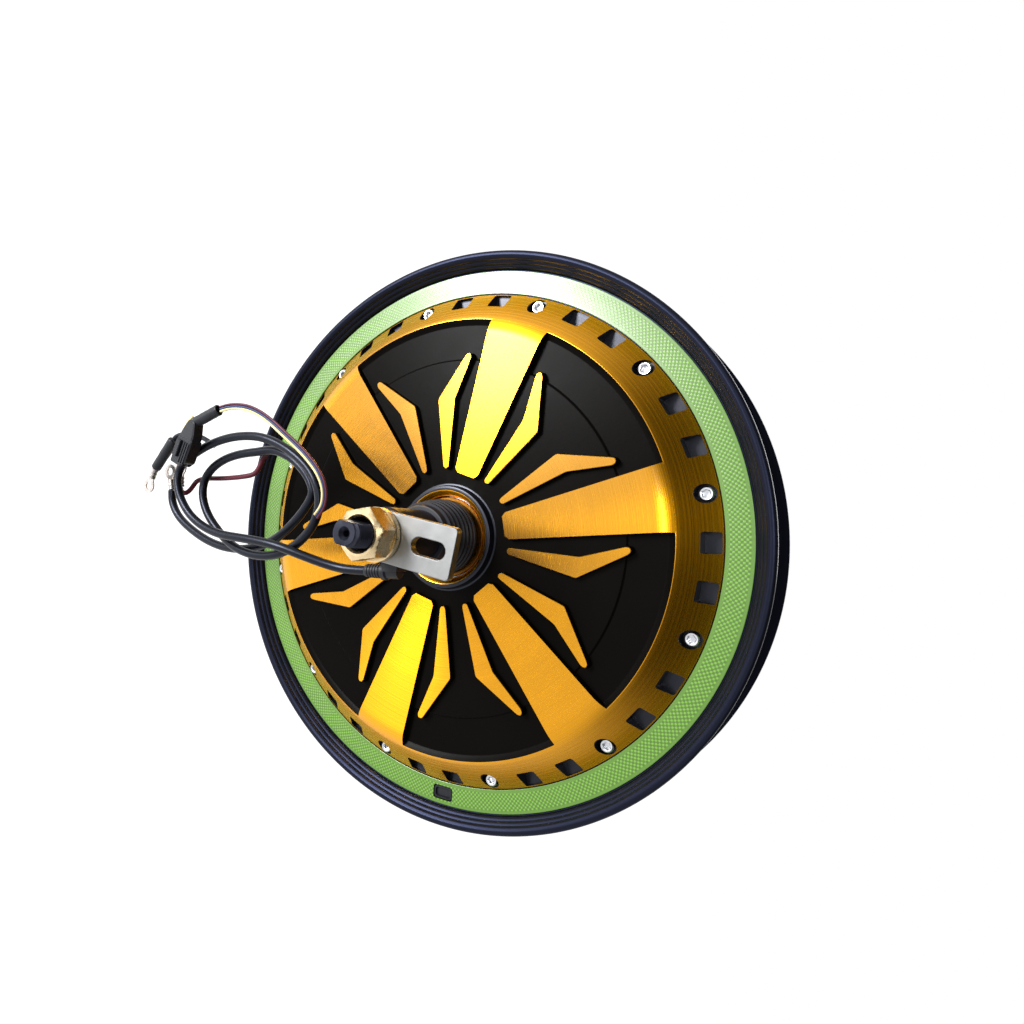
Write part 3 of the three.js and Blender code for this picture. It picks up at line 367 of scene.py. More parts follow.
def combine(piece, tool, operation):
    """Cuts a tool out of a piece, or joins or crosses it with the piece, and uses the tool up."""
    modifier = piece.modifiers.new("combine", "BOOLEAN")
    modifier.object, modifier.operation = tool, operation
    modifier.solver, modifier.material_mode = "EXACT", "TRANSFER"
    bpy.context.view_layer.update()
    evaluated = piece.evaluated_get(bpy.context.evaluated_depsgraph_get())
    result = bpy.data.meshes.new_from_object(evaluated)
    if len(result.polygons) < FEWEST_FACES:
        raise RuntimeError(f"{piece.name}: nothing was left after {operation}")
    piece.modifiers.clear()
    spent = [piece.data, tool.data]
    piece.data = result
    bpy.data.objects.remove(tool)
    for mesh in spent:
        bpy.data.meshes.remove(mesh)


def reshape(piece, shape, operation, turn=0.0):
    """Cuts, joins or crosses a piece with a shape, whose faces take the piece's own materials."""
    combine(piece, mesh_object("tool", shape, list(piece.data.materials), turn), operation)


def finish_piece(piece, body, nodes=(), sharp=32.0, bevel=0.0):
    """Shades a piece, eases its sharp edges and ties it to its body and CAD nodes."""
    mesh = piece.data
    mesh.shade_smooth()
    mesh.set_sharp_from_angle(angle=math.radians(sharp))
    if bevel:
        edge = piece.modifiers.new("eased edges", "BEVEL")
        edge.width, edge.segments, edge.limit_method = bevel * MM, 2, "ANGLE"
        edge.angle_limit = math.radians(BEVEL_ANGLE)
        edge.harden_normals = False
    normals = piece.modifiers.new("flat faces stay flat", "WEIGHTED_NORMAL")
    normals.keep_sharp = True
    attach(piece, body)
    if nodes:
        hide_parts(*nodes)


# ---------------------------------------------------------------------------
# Material helpers
# ---------------------------------------------------------------------------


def add_node(tree, kind, settings=None, inputs=None):
    """Adds a node with its settings. An input takes a value, a socket, or another node's first output."""
    node = tree.nodes.new(kind)
    for key, value in (settings or {}).items():
        setattr(node, key, value)
    for key, value in (inputs or {}).items():
        if isinstance(value, bpy.types.Node):
            value = value.outputs[0]
        if isinstance(value, bpy.types.NodeSocket):
            tree.links.new(value, node.inputs[key])
        else:
            node.inputs[key].default_value = value
    return node


def new_tree(name):
    """A new material and its empty node tree."""
    material = bpy.data.materials.new(name)
    material.use_nodes = True
    material.node_tree.nodes.clear()
    return material, material.node_tree


def shade(colour, factor):
    """A lighter or darker copy of a linear colour."""
    return (*[min(1.0, c * factor) for c in colour[:3]], 1.0)


def axle_radius(tree):
    """Distance from the axle's line, in metres."""
    place = add_node(tree, "ShaderNodeTexCoord").outputs["Object"]
    flat = add_node(tree, "ShaderNodeVectorMath", {"operation": "MULTIPLY"}, {0: place, 1: (1, 0, 1)})
    return add_node(tree, "ShaderNodeVectorMath", {"operation": "LENGTH"}, {0: flat}).outputs["Value"]


def grain(tree, size_mm, detail=2.0, stretch=(1, 1, 1)):
    """Soft noise whose lumps are size_mm across, in the piece's own place."""
    place = add_node(tree, "ShaderNodeTexCoord").outputs["Object"]
    scaled = add_node(tree, "ShaderNodeMapping", None, {"Vector": place, "Scale": stretch})
    lumps = {"Vector": scaled, "Scale": 1 / (size_mm * MM), "Detail": detail}
    return add_node(tree, "ShaderNodeTexNoise", None, lumps)


def tool_marks(tree, feed_mm):
    """Noise that changes only with the distance from the axle, as a turning tool leaves."""
    turns = {0: axle_radius(tree), 1: 1 / (feed_mm * MM)}
    turns = add_node(tree, "ShaderNodeMath", {"operation": "MULTIPLY"}, turns)
    marks = {"W": turns, "Scale": 1.0, "Detail": 3.0}
    return add_node(tree, "ShaderNodeTexNoise", {"noise_dimensions": "1D"}, marks)


def surface(tree, tones, gloss, relief, sockets=None):
    """Closes a material whose colour, roughness and relief each follow a pattern.

    tones is a pattern with its dark and light colour, gloss a pattern with its lowest and highest
    roughness, and relief a pattern with its depth in millimetres and its strength.
    """
    (tone, dark, light), (shine, low, high), (height, depth_mm, strength) = tones, gloss, relief
    colour = add_node(tree, "ShaderNodeMix", {"data_type": "RGBA"}, {"Factor": tone, 6: dark, 7: light})
    roughness = add_node(tree, "ShaderNodeMapRange", None, {"Value": shine, "To Min": low, "To Max": high})
    bumps = {"Height": height, "Distance": depth_mm * MM, "Strength": strength}
    normal = add_node(tree, "ShaderNodeBump", None, bumps)
    shader = add_node(
        tree,
        "ShaderNodeBsdfPrincipled",
        None,
        {"Base Color": colour.outputs[2], "Roughness": roughness, "Normal": normal, **(sockets or {})},
    )
    add_node(tree, "ShaderNodeOutputMaterial", None, {"Surface": shader})


# ---------------------------------------------------------------------------
# Materials
# ---------------------------------------------------------------------------


def gold_lacquer(colour):
    """Cast aluminium, face-turned on a lathe and dipped in clear gold lacquer.

    The circular tool marks stretch each highlight across the spokes, so that the metal runs from
    brown gold to near white round the wheel, and the lacquer lays a softer shine over it.
    """
    material, tree = new_tree("turned aluminium, gold lacquer")
    # the feed of the tool is about 0.1 mm, too fine to show, so it is drawn at 0.7 mm
    fine, wide = tool_marks(tree, 0.7), tool_marks(tree, 9.0)
    mixed = add_node(tree, "ShaderNodeMath", {"operation": "MULTIPLY"}, {0: fine, 1: 0.45})
    mixed = add_node(tree, "ShaderNodeMath", {"operation": "MULTIPLY_ADD"}, {0: wide, 1: 0.4, 2: mixed})
    patchy = {0: grain(tree, 26), 1: 0.3, 2: mixed}
    patchy = add_node(tree, "ShaderNodeMath", {"operation": "MULTIPLY_ADD"}, patchy)
    around = add_node(tree, "ShaderNodeTangent", {"direction_type": "RADIAL", "axis": "Y"})
    surface(
        tree,
        (patchy, shade(colour, 0.72), shade(colour, 1.14)),
        (fine, 0.23, 0.31),
        (fine, 0.02, 0.5),
        {
            "Metallic": 1.0,
            "Anisotropic": 0.92,
            "Anisotropic Rotation": 0.25,
            "Tangent": around,
            "Coat Weight": 0.45,
            "Coat Roughness": 0.28,
        },
    )
    return material


def satin_black(colour, specular):
    """Black enamel, sprayed into the cast panels before the face was turned.

    It is near black with a soft sheen, broken up by the spray's orange peel, 1 to 2 mm across.
    """
    material, tree = new_tree("satin black enamel, sprayed")
    surface(
        tree,
        (grain(tree, 30), colour, shade(colour, 1.5)),
        (grain(tree, 12), 0.24, 0.34),
        (grain(tree, 1.6), 0.03, 0.5),
        {"Specular IOR Level": specular},
    )
    return material


def gloss_black(colour, specular, tint):
    """Gloss black powder coat, baked over the cast and turned rim.

    It flows out smooth, so the turned steps show as thin bright rings, with a faint blue cast.
    """
    material, tree = new_tree("gloss black powder coat, baked")
    surface(
        tree,
        (tool_marks(tree, 3.0), colour, shade(colour, 1.6)),
        (tool_marks(tree, 1.1), 0.24, 0.4),
        (grain(tree, 2.2), 0.02, 0.4),
        {"Specular IOR Level": specular, "Specular Tint": linear(tint)},
    )
    return material


def reflective_tape(colour, pitch_mm, inner_mm, width_mm):
    """Lime green reflective tape: a clear film embossed with small cells over the colour.

    The cells give a fine, even sparkle between two plain welded borders, under a glossy film: their relief
    is real, and the sparkle is also painted into the colour as a lighter crest and a darker groove on each
    cell.
    """
    material, tree = new_tree("lime reflective tape, embossed")
    border_mm, border_fade_mm = 1.2, 0.3
    place = add_node(tree, "ShaderNodeTexCoord").outputs["Object"]
    place = add_node(tree, "ShaderNodeSeparateXYZ", None, {0: place})
    across = {0: place.outputs["X"], 1: place.outputs["Z"]}
    angle = add_node(tree, "ShaderNodeMath", {"operation": "ARCTAN2"}, across)
    radius, middle = axle_radius(tree), inner_mm + width_mm / 2
    # a whole number of cells goes round the band, in staggered rings
    cells = round(2 * math.pi * middle / pitch_mm)
    phases = [
        add_node(tree, "ShaderNodeMath", {"operation": "MULTIPLY"}, {0: run, 1: per_unit})
        for run, per_unit in ((angle, float(cells)), (radius, 2 * math.pi / (pitch_mm * MM)))
    ]
    waves = [add_node(tree, "ShaderNodeMath", {"operation": "COSINE"}, {0: phase}) for phase in phases]
    crossed = add_node(tree, "ShaderNodeMath", {"operation": "MULTIPLY"}, {0: waves[0], 1: waves[1]})
    cell = add_node(
        tree,
        "ShaderNodeMapRange",
        {"interpolation_type": "SMOOTHSTEP"},
        {"Value": crossed, "From Min": -0.35, "From Max": 0.75},
    )
    offset = add_node(tree, "ShaderNodeMath", {"operation": "SUBTRACT"}, {0: radius, 1: middle * MM})
    field = add_node(
        tree,
        "ShaderNodeMapRange",
        None,
        {
            "Value": add_node(tree, "ShaderNodeMath", {"operation": "ABSOLUTE"}, {0: offset}),
            "From Min": (width_mm / 2 - border_mm - border_fade_mm) * MM,
            "From Max": (width_mm / 2 - border_mm) * MM,
            "To Min": 1.0,
            "To Max": 0.0,
        },
    )
    embossed = add_node(tree, "ShaderNodeMath", {"operation": "MULTIPLY"}, {0: cell, 1: field})
    # painted sparkle: each cell's crest is a lighter, lit copy of the green and its groove a darker, shaded
    # copy
    lit = add_node(
        tree,
        "ShaderNodeMix",
        {"data_type": "RGBA"},
        {"Factor": embossed, 6: shade(colour, 0.62), 7: shade(colour, 1.5)},
    )
    surface(
        tree,
        (field, shade(colour, 0.85), lit.outputs[2]),
        (grain(tree, 9), 0.3, 0.42),
        (embossed, 0.14, 0.6),
        {"Coat Weight": 0.55, "Coat Roughness": 0.22},
    )
    return material


def black_oxide(colour):
    """Steel, turned and blacked in hot oxide: dark, slightly blue, glinting along its turned edges."""
    material, tree = new_tree("black oxide steel, turned")
    surface(
        tree,
        (grain(tree, 7), shade(colour, 0.8), shade(colour, 2.0)),
        (grain(tree, 1.5), 0.32, 0.5),
        (grain(tree, 0.6, stretch=(1, 5, 1)), 0.02, 0.5),
        {"Metallic": 0.75, "Specular Tint": linear("cdd6f4")},
    )
    return material


def clear_zinc(colour):
    """Steel, pressed and clear zinc plated: pale and cloudy, with rolling scratches along the plate."""
    material, tree = new_tree("clear zinc steel, pressed")
    # rolling scratches are about 0.1 mm wide, too fine to show, so they are drawn at 0.9 mm
    rolled = grain(tree, 0.9, stretch=(3, 1, 0.35))
    surface(
        tree,
        (grain(tree, 6), shade(colour, 0.72), shade(colour, 1.1)),
        (rolled, 0.32, 0.52),
        (rolled, 0.02, 0.6),
        {"Metallic": 1.0},
    )
    return material


def yellow_zinc(colour):
    """Steel, milled and yellow chromated: pale straw, with brown patches where the bath pooled."""
    material, tree = new_tree("yellow chromate steel, milled")
    surface(
        tree,
        (grain(tree, 4.5, 3), linear("cdab78"), shade(colour, 1.05)),
        (grain(tree, 1.2), 0.2, 0.38),
        (grain(tree, 0.8), 0.02, 0.5),
        {"Metallic": 1.0},
    )
    return material


def bright_steel():
    """Screw steel, cold headed and bright plated: silver with small dull flecks."""
    material, tree = new_tree("bright zinc steel, cold headed")
    surface(
        tree,
        (grain(tree, 1.5), linear("b9bcc2"), linear("e6e8ec")),
        (grain(tree, 0.8), 0.18, 0.32),
        (grain(tree, 0.4), 0.01, 0.4),
        {"Metallic": 1.0},
    )
    return material


def moulded_rubber():
    """Black rubber, moulded: matt and slightly uneven, with a faint grey bloom."""
    material, tree = new_tree("black rubber, moulded")
    surface(
        tree,
        (grain(tree, 5), linear("0f1013"), linear("20222a")),
        (grain(tree, 2), 0.36, 0.5),
        (grain(tree, 0.5), 0.03, 0.6),
        {"Specular IOR Level": 0.3},
    )
    return material


def moulded_nylon():
    """Black nylon, moulded in an etched tool: a fine grain that turns its shine to a sheen."""
    material, tree = new_tree("black nylon, moulded")
    surface(
        tree,
        (grain(tree, 4), linear("0e0f13"), linear("1d1f27")),
        (grain(tree, 1.5), 0.34, 0.5),
        (grain(tree, 0.35), 0.02, 0.6),
        {"Specular IOR Level": 0.35},
    )
    return material


def insulation(name, colour, roughness=0.34):
    """PVC, extruded over the wires: a smooth long highlight, with slight bloom and scuffs."""
    material, tree = new_tree(name)
    surface(
        tree,
        (grain(tree, 8), shade(colour, 0.8), shade(colour, 1.5)),
        (grain(tree, 3), roughness - 0.06, roughness + 0.1),
        (grain(tree, 1.2), 0.03, 0.4),
        {"Specular IOR Level": 0.3, "Specular Tint": linear("d3dbf7")},
    )
    return material


def tinned_copper():
    """Copper, stamped and tinned: soft silver with small stains."""
    material, tree = new_tree("tinned copper, stamped")
    surface(
        tree,
        (grain(tree, 1.8, 3), linear("8f8682"), linear("dad5d1")),
        (grain(tree, 1), 0.2, 0.36),
        (grain(tree, 0.6), 0.02, 0.5),
        {"Metallic": 1.0},
    )
    return material


def bearing_shield():
    """Pressed steel in a brown gold film; its blotches, from near black to light gold, are painted
    reflection and shade of the recess it sits in.
    """
    material, tree = new_tree("pressed steel shield, painted mottled reflection")
    # painted reflection and shade: the grain blotches the shield from near black to light gold
    surface(
        tree,
        (grain(tree, 1.3, 3), linear("3c240c"), linear("b57c30")),
        (grain(tree, 2), 0.25, 0.42),
        (tool_marks(tree, 0.8), 0.02, 0.6),
        {"Metallic": 1.0},
    )
    return material


def inner_finish(name, dark, light, roughness, metallic=1.0):
    """A finish of the closed inside: two close tones, mixed in a fine grain."""
    material, tree = new_tree(name)
    surface(
        tree,
        (grain(tree, 3.0), linear(dark), linear(light)),
        (grain(tree, 1.0), roughness - 0.08, roughness + 0.08),
        (grain(tree, 0.5), 0.03, 0.5),
        {"Metallic": metallic},
    )
    return material


_made = {}


def shared(name, maker, *arguments):
    """One material for all pieces of the same finish."""
    if name not in _made:
        _made[name] = maker(*arguments)
    return _made[name]


# ---------------------------------------------------------------------------
# Stage: camera, lamps, floor and background
# ---------------------------------------------------------------------------

CAMERA_PLACE = (0.00414, -0.35620, 0.18337)
CAMERA_TURN = (1.56041, -55.36888, 91.56041)  # degrees; the part's -X is up in the view
VIEW_SHIFT = (0.1328, -0.0052)
SENSOR_WIDTH = 36.0
NEAR_CLIP, FAR_CLIP = 0.01, 50.0
FLOOR_HALF = 4.0  # half the floor's width
FLOOR_DROP = 0.5  # floor below the part, which hangs by its axle
FLOOR_LIFT = 0.62  # glow that brings the lit paper up to white
CEILING = 0.02  # what is mirrored from overhead, where 1 is white
CEILING_FROM = 0.75  # the upward slope at which the overhead dark is whole
SKY_LIGHT = 0.55  # soft light from all round
# Each softbox: its name, place, size and share of the key or fill power. The key lamp stands where
# the first spoke and the one across from it mirror it.
LAMPS = (
    ("key", (-0.42, -0.78, -0.33), (0.38, 0.22), 1.0),
    ("front", (-0.1, -1.18, 0.43), (0.2, 0.2), 0.6),
    ("back", (-0.3, 0.95, 0.35), (0.8, 0.8), 1.0),
)


class HUBMOTOR_OT_stage(bpy.types.Operator):
    """Adds the camera, softboxes, pale floor and white background"""

    bl_idname = "hub_motor.stage"
    bl_label = "Stage"

    def execute(self, context):
        values = context.scene.hub_motor.stage
        camera = bpy.data.objects.new("camera", bpy.data.cameras.new("camera"))
        camera.data.lens, camera.data.sensor_width = values.lens, SENSOR_WIDTH
        camera.data.shift_x, camera.data.shift_y = VIEW_SHIFT
        camera.data.clip_start, camera.data.clip_end = NEAR_CLIP, FAR_CLIP
        camera.location = CAMERA_PLACE
        camera.rotation_euler = [math.radians(v) for v in CAMERA_TURN]
        context.scene.collection.objects.link(camera)
        context.scene.camera = camera
        for name, place, size, share in LAMPS:
            lamp = bpy.data.lights.new(name, "AREA")
            power = values.key_power if name == "key" else values.fill_power
            lamp.shape = "RECTANGLE"
            lamp.size, lamp.size_y, lamp.energy = *size, share * power
            lamp_object = bpy.data.objects.new(name, lamp)
            lamp_object.location = place
            lamp_object.rotation_euler = Vector(place).to_track_quat("Z", "Y").to_euler()
            context.scene.collection.objects.link(lamp_object)
        self.add_floor(context, values)
        self.light_world(context, values)
        context.scene.view_settings.view_transform = "Standard"
        return {"FINISHED"}

    @staticmethod
    def add_floor(context, values):
        """A paper floor that is seen white and keeps the part's shadow."""
        height = CAD_BOUNDS[0][2] - FLOOR_DROP
        mesh = bpy.data.meshes.new("floor")
        work = bmesh.new()
        bmesh.ops.create_grid(work, x_segments=2, y_segments=2, size=FLOOR_HALF)
        bmesh.ops.translate(work, verts=work.verts, vec=(0, 0, height))
        work.to_mesh(mesh)
        work.free()
        floor = bpy.data.objects.new("floor", mesh)
        context.scene.collection.objects.link(floor)
        # paper, rolled: flat white with the faintest clouding from its fibres
        material, tree = new_tree("white paper, rolled")
        white = tuple(values.backdrop)
        fibres = {"Factor": grain(tree, 60), 6: shade(white, 0.8), 7: shade(white, 0.84)}
        clouds = add_node(tree, "ShaderNodeMix", {"data_type": "RGBA"}, fibres)
        paper = add_node(tree, "ShaderNodeBsdfDiffuse", None, {"Color": clouds.outputs[2]})
        # what the camera and mirrors see of the paper is lifted to white, less its shadow
        path = add_node(tree, "ShaderNodeLightPath")
        seen = path.outputs["Is Camera Ray"]
        for ray in ("Is Glossy Ray", "Is Transmission Ray"):
            pair = {0: seen, 1: path.outputs[ray]}
            seen = add_node(tree, "ShaderNodeMath", {"operation": "MAXIMUM"}, pair)
        lift = add_node(tree, "ShaderNodeMath", {"operation": "MULTIPLY"}, {0: seen, 1: FLOOR_LIFT})
        glow = add_node(tree, "ShaderNodeEmission", None, {"Color": white, "Strength": lift})
        both = add_node(tree, "ShaderNodeAddShader", None, {0: paper, 1: glow})
        add_node(tree, "ShaderNodeOutputMaterial", None, {"Surface": both})
        mesh.materials.append(material)

    @staticmethod
    def light_world(context, values):
        """Soft light from all round, before a white background."""
        world = bpy.data.worlds.new("studio")
        context.scene.world = world
        world.use_nodes = True
        tree = world.node_tree
        tree.nodes.clear()
        # the studio is white round the part and darker overhead, where the lamps hang
        direction = add_node(tree, "ShaderNodeTexCoord").outputs["Generated"]
        height = add_node(tree, "ShaderNodeSeparateXYZ", None, {0: direction}).outputs["Z"]
        overhead = add_node(
            tree,
            "ShaderNodeMapRange",
            {"interpolation_type": "SMOOTHSTEP"},
            {"Value": height, "From Min": 0.0, "From Max": CEILING_FROM, "To Min": 1.0, "To Max": CEILING},
        )
        path = add_node(tree, "ShaderNodeLightPath")
        direct = {0: path.outputs["Is Camera Ray"], 1: path.outputs["Is Transmission Ray"]}
        strength = add_node(tree, "ShaderNodeMath", {"operation": "MAXIMUM"}, direct)
        for ray, level in (("Is Glossy Ray", overhead), ("Is Diffuse Ray", SKY_LIGHT)):
            share = {0: path.outputs[ray], 1: level}
            share = add_node(tree, "ShaderNodeMath", {"operation": "MULTIPLY"}, share)
            strength = add_node(tree, "ShaderNodeMath", {"operation": "MAXIMUM"}, {0: strength, 1: share})
        sky = {"Color": tuple(values.backdrop), "Strength": strength}
        glow = add_node(tree, "ShaderNodeBackground", None, sky)
        add_node(tree, "ShaderNodeOutputWorld", None, {"Surface": glow})


# ---------------------------------------------------------------------------
# Cords
# ---------------------------------------------------------------------------

CABLE_ROUTE = (
    (-11.9, -16, 76), (-20.5, -16, 76.3), (-29.4, -15.3, 77.0), (-39.2, -12.9, 79.0),
    (-49.8, -9.4, 82.0), (-61.2, -5.7, 84.5), (-74.3, -3.3, 85.5), (-86.4, -1.8, 86.0),
    (-98.4, -0.3, 86.0), (-110.0, 3.1, 86.0), (-120.4, 8.9, 86.0), (-127.3, 16.1, 86.0),
    (-131.3, 23.8, 86.0), (-132.2, 31.5, 85.5), (-128.8, 37.4, 85.0), (-121.2, 42.1, 84.0),
    (-111.1, 46.1, 83.5), (-99.2, 48.7, 83.0), (-87.6, 49.3, 82.5), (-75.8, 47.9, 82.5),
    (-64.9, 44.1, 82.0), (-53.8, 37.9, 82.0), (-45.6, 31.0, 81.5), (-40.5, 23.4, 81.5),
    (-39.2, 16.1, 81.0), (-40.3, 8.8, 81.0), (-45.2, 1.8, 80.5), (-53.4, -4.7, 80.0),
    (-64.2, -9.4, 80.0), (-76.4, -10.7, 80.0), (-88.1, -8.9, 80.0), (-98.9, -4.6, 79.5),
    (-107.9, 2.0, 79.0), (-115.7, 10.2, 79.0), (-120.4, 19.4, 78.5), (-120.2, 27.8, 78.0),
    (-115.0, 34.5, 77.5), (-106.1, 39.0, 77.0), (-94.8, 41.1, 77.0), (-83.3, 41.7, 76.5),
    (-74.0, 42.1, 76.0), (-64.5, 39.1, 76.0), (-56.1, 33.7, 76.0), (-50.5, 27.3, 75.5),
    (-47.6, 20.3, 75.5), (-51.9, 13.6, 75.0), (-59.8, 5.7, 75.0), (-72.2, -2.4, 74.5),
    (-87.1, -6.9, 74.0), (-102.3, -7.5, 74.0), (-117.2, -4.7, 74.0), (-132.4, 1.7, 73.8),
    (-144.9, 9.9, 73.6), (-150.2, 17.9, 73.5), (-150.8, 24.2, 73.5),
)
SENSOR_ROUTE = (
    (-37.9, 8.3, 84.8), (-33.0, 13.4, 85.8), (-31.9, 20.8, 86.7), (-35.0, 28.1, 87.0),
    (-41.1, 35.1, 87.2), (-48.2, 41.5, 87.5), (-56.4, 47.8, 87.7), (-64.3, 54.0, 88.0),
    (-72.9, 59.2, 88.0), (-81.7, 62.5, 88.4), (-90.5, 63.3, 89.8), (-96.0, 62.3, 91.0),
)
PHASE_ROUTE = (
    (-51.9, 26.0, 71.8), (-58.0, 31.1, 71.7), (-63.7, 36.3, 71.5), (-70.8, 40.7, 71.0),
    (-78.6, 42.9, 71.0), (-83.9, 39.9, 71.0), (-86.3, 35.3, 71.4), (-89.2, 31.3, 72.0),
    (-96.3, 29.9, 73.0), (-112.2, 29.5, 73.0), (-125.6, 29.8, 73.4), (-130.1, 28.3, 74.6),
    (-131.3, 24.3, 77.0), (-132.9, 21.8, 79.4), (-134.7, 22.8, 80.8), (-134.9, 24.8, 81.0),
)
SECOND_PHASE_ROUTE = (
    (-111.5, 46.2, 79.5), (-116, 48.6, 79.0), (-124, 52, 78.5), (-135.5, 54.2, 78.8),
    (-141.3, 52.9, 79.9), (-142.8, 51.4, 80.0),
)
SENSOR_SPACING = 1.15  # between the middles of two sensor wires
EASE_PASSES = 4  # the jackets' own stiffness rounds off each turn by a few tenths of a millimetre
# where each piece on a cord starts, and a point that it runs towards
PLUG_SLEEVE = ((-96.6, 62.1, 91.0), (-112.5, 56.9, 91.5))
PLUG_BODY = ((-112.2, 57.8, 91.5), (-122.9, 35.4, 91.5))
TERMINALS = (
    ((-157.3, 35.9, 80), (-162.6, 26.7, 80)),
    ((-134.9, 25.0, 81), (-135.3, 35.0, 81)),
    ((-150.8, 24.5, 73.5), (-152.6, 34.5, 73.5)),
)
TERMINAL_SLEEVE = ((-157.2, 36.4, 80), (-143.1, 51.0, 80))


def smooth_line(route, steps=6):
    """Points on the centripetal curve through a route, as the CAD's cords follow."""
    knots = [Vector(p) for p in route]
    knots = [knots[0] * 2 - knots[1], *knots, knots[-1] * 2 - knots[-2]]
    line = []
    for p0, p1, p2, p3 in zip(knots, knots[1:], knots[2:], knots[3:]):
        t = [0.0]
        for u, v in ((p0, p1), (p1, p2), (p2, p3)):
            t.append(t[-1] + max((v - u).length, 1e-6) ** 0.5)
        for k in range(steps):
            at = t[1] + (t[2] - t[1]) * k / steps
            a1 = p0.lerp(p1, (at - t[0]) / (t[1] - t[0]))
            a2 = p1.lerp(p2, (at - t[1]) / (t[2] - t[1]))
            a3 = p2.lerp(p3, (at - t[2]) / (t[3] - t[2]))
            b1 = a1.lerp(a2, (at - t[0]) / (t[2] - t[0]))
            b2 = a2.lerp(a3, (at - t[1]) / (t[3] - t[1]))
            line.append(b1.lerp(b2, (at - t[1]) / (t[2] - t[1])))
    line.append(knots[-2])
    for _ in range(EASE_PASSES):
        line[1:-1] = [
            p.lerp((before + after) / 2, 0.5) for before, p, after in zip(line, line[1:], line[2:])
        ]
    return line


def cord_object(name, route, diameter, material, sideways=0.0):
    """A round cord along a route of the face frame, which may be moved sideways in the face's plane."""
    line = smooth_line(route)
    if sideways:
        moved = []
        for i, p in enumerate(line):
            run = line[min(i + 1, len(line) - 1)] - line[max(i - 1, 0)]
            side = Vector((-run.y, run.x, 0)).normalized()
            moved.append(p + side * sideways)
        line = moved
    curve = bpy.data.curves.new(name, "CURVE")
    curve.dimensions, curve.bevel_depth, curve.bevel_resolution = "3D", diameter / 2, 6
    curve.use_fill_caps = True
    spline = curve.splines.new("POLY")
    spline.points.add(len(line) - 1)
    for point, place in zip(spline.points, line):
        point.co = (*in_part(*place), 1.0)
    spline.use_smooth = True
    curve.materials.append(material)
    piece = bpy.data.objects.new(name, curve)
    bpy.context.scene.collection.objects.link(piece)
    return piece


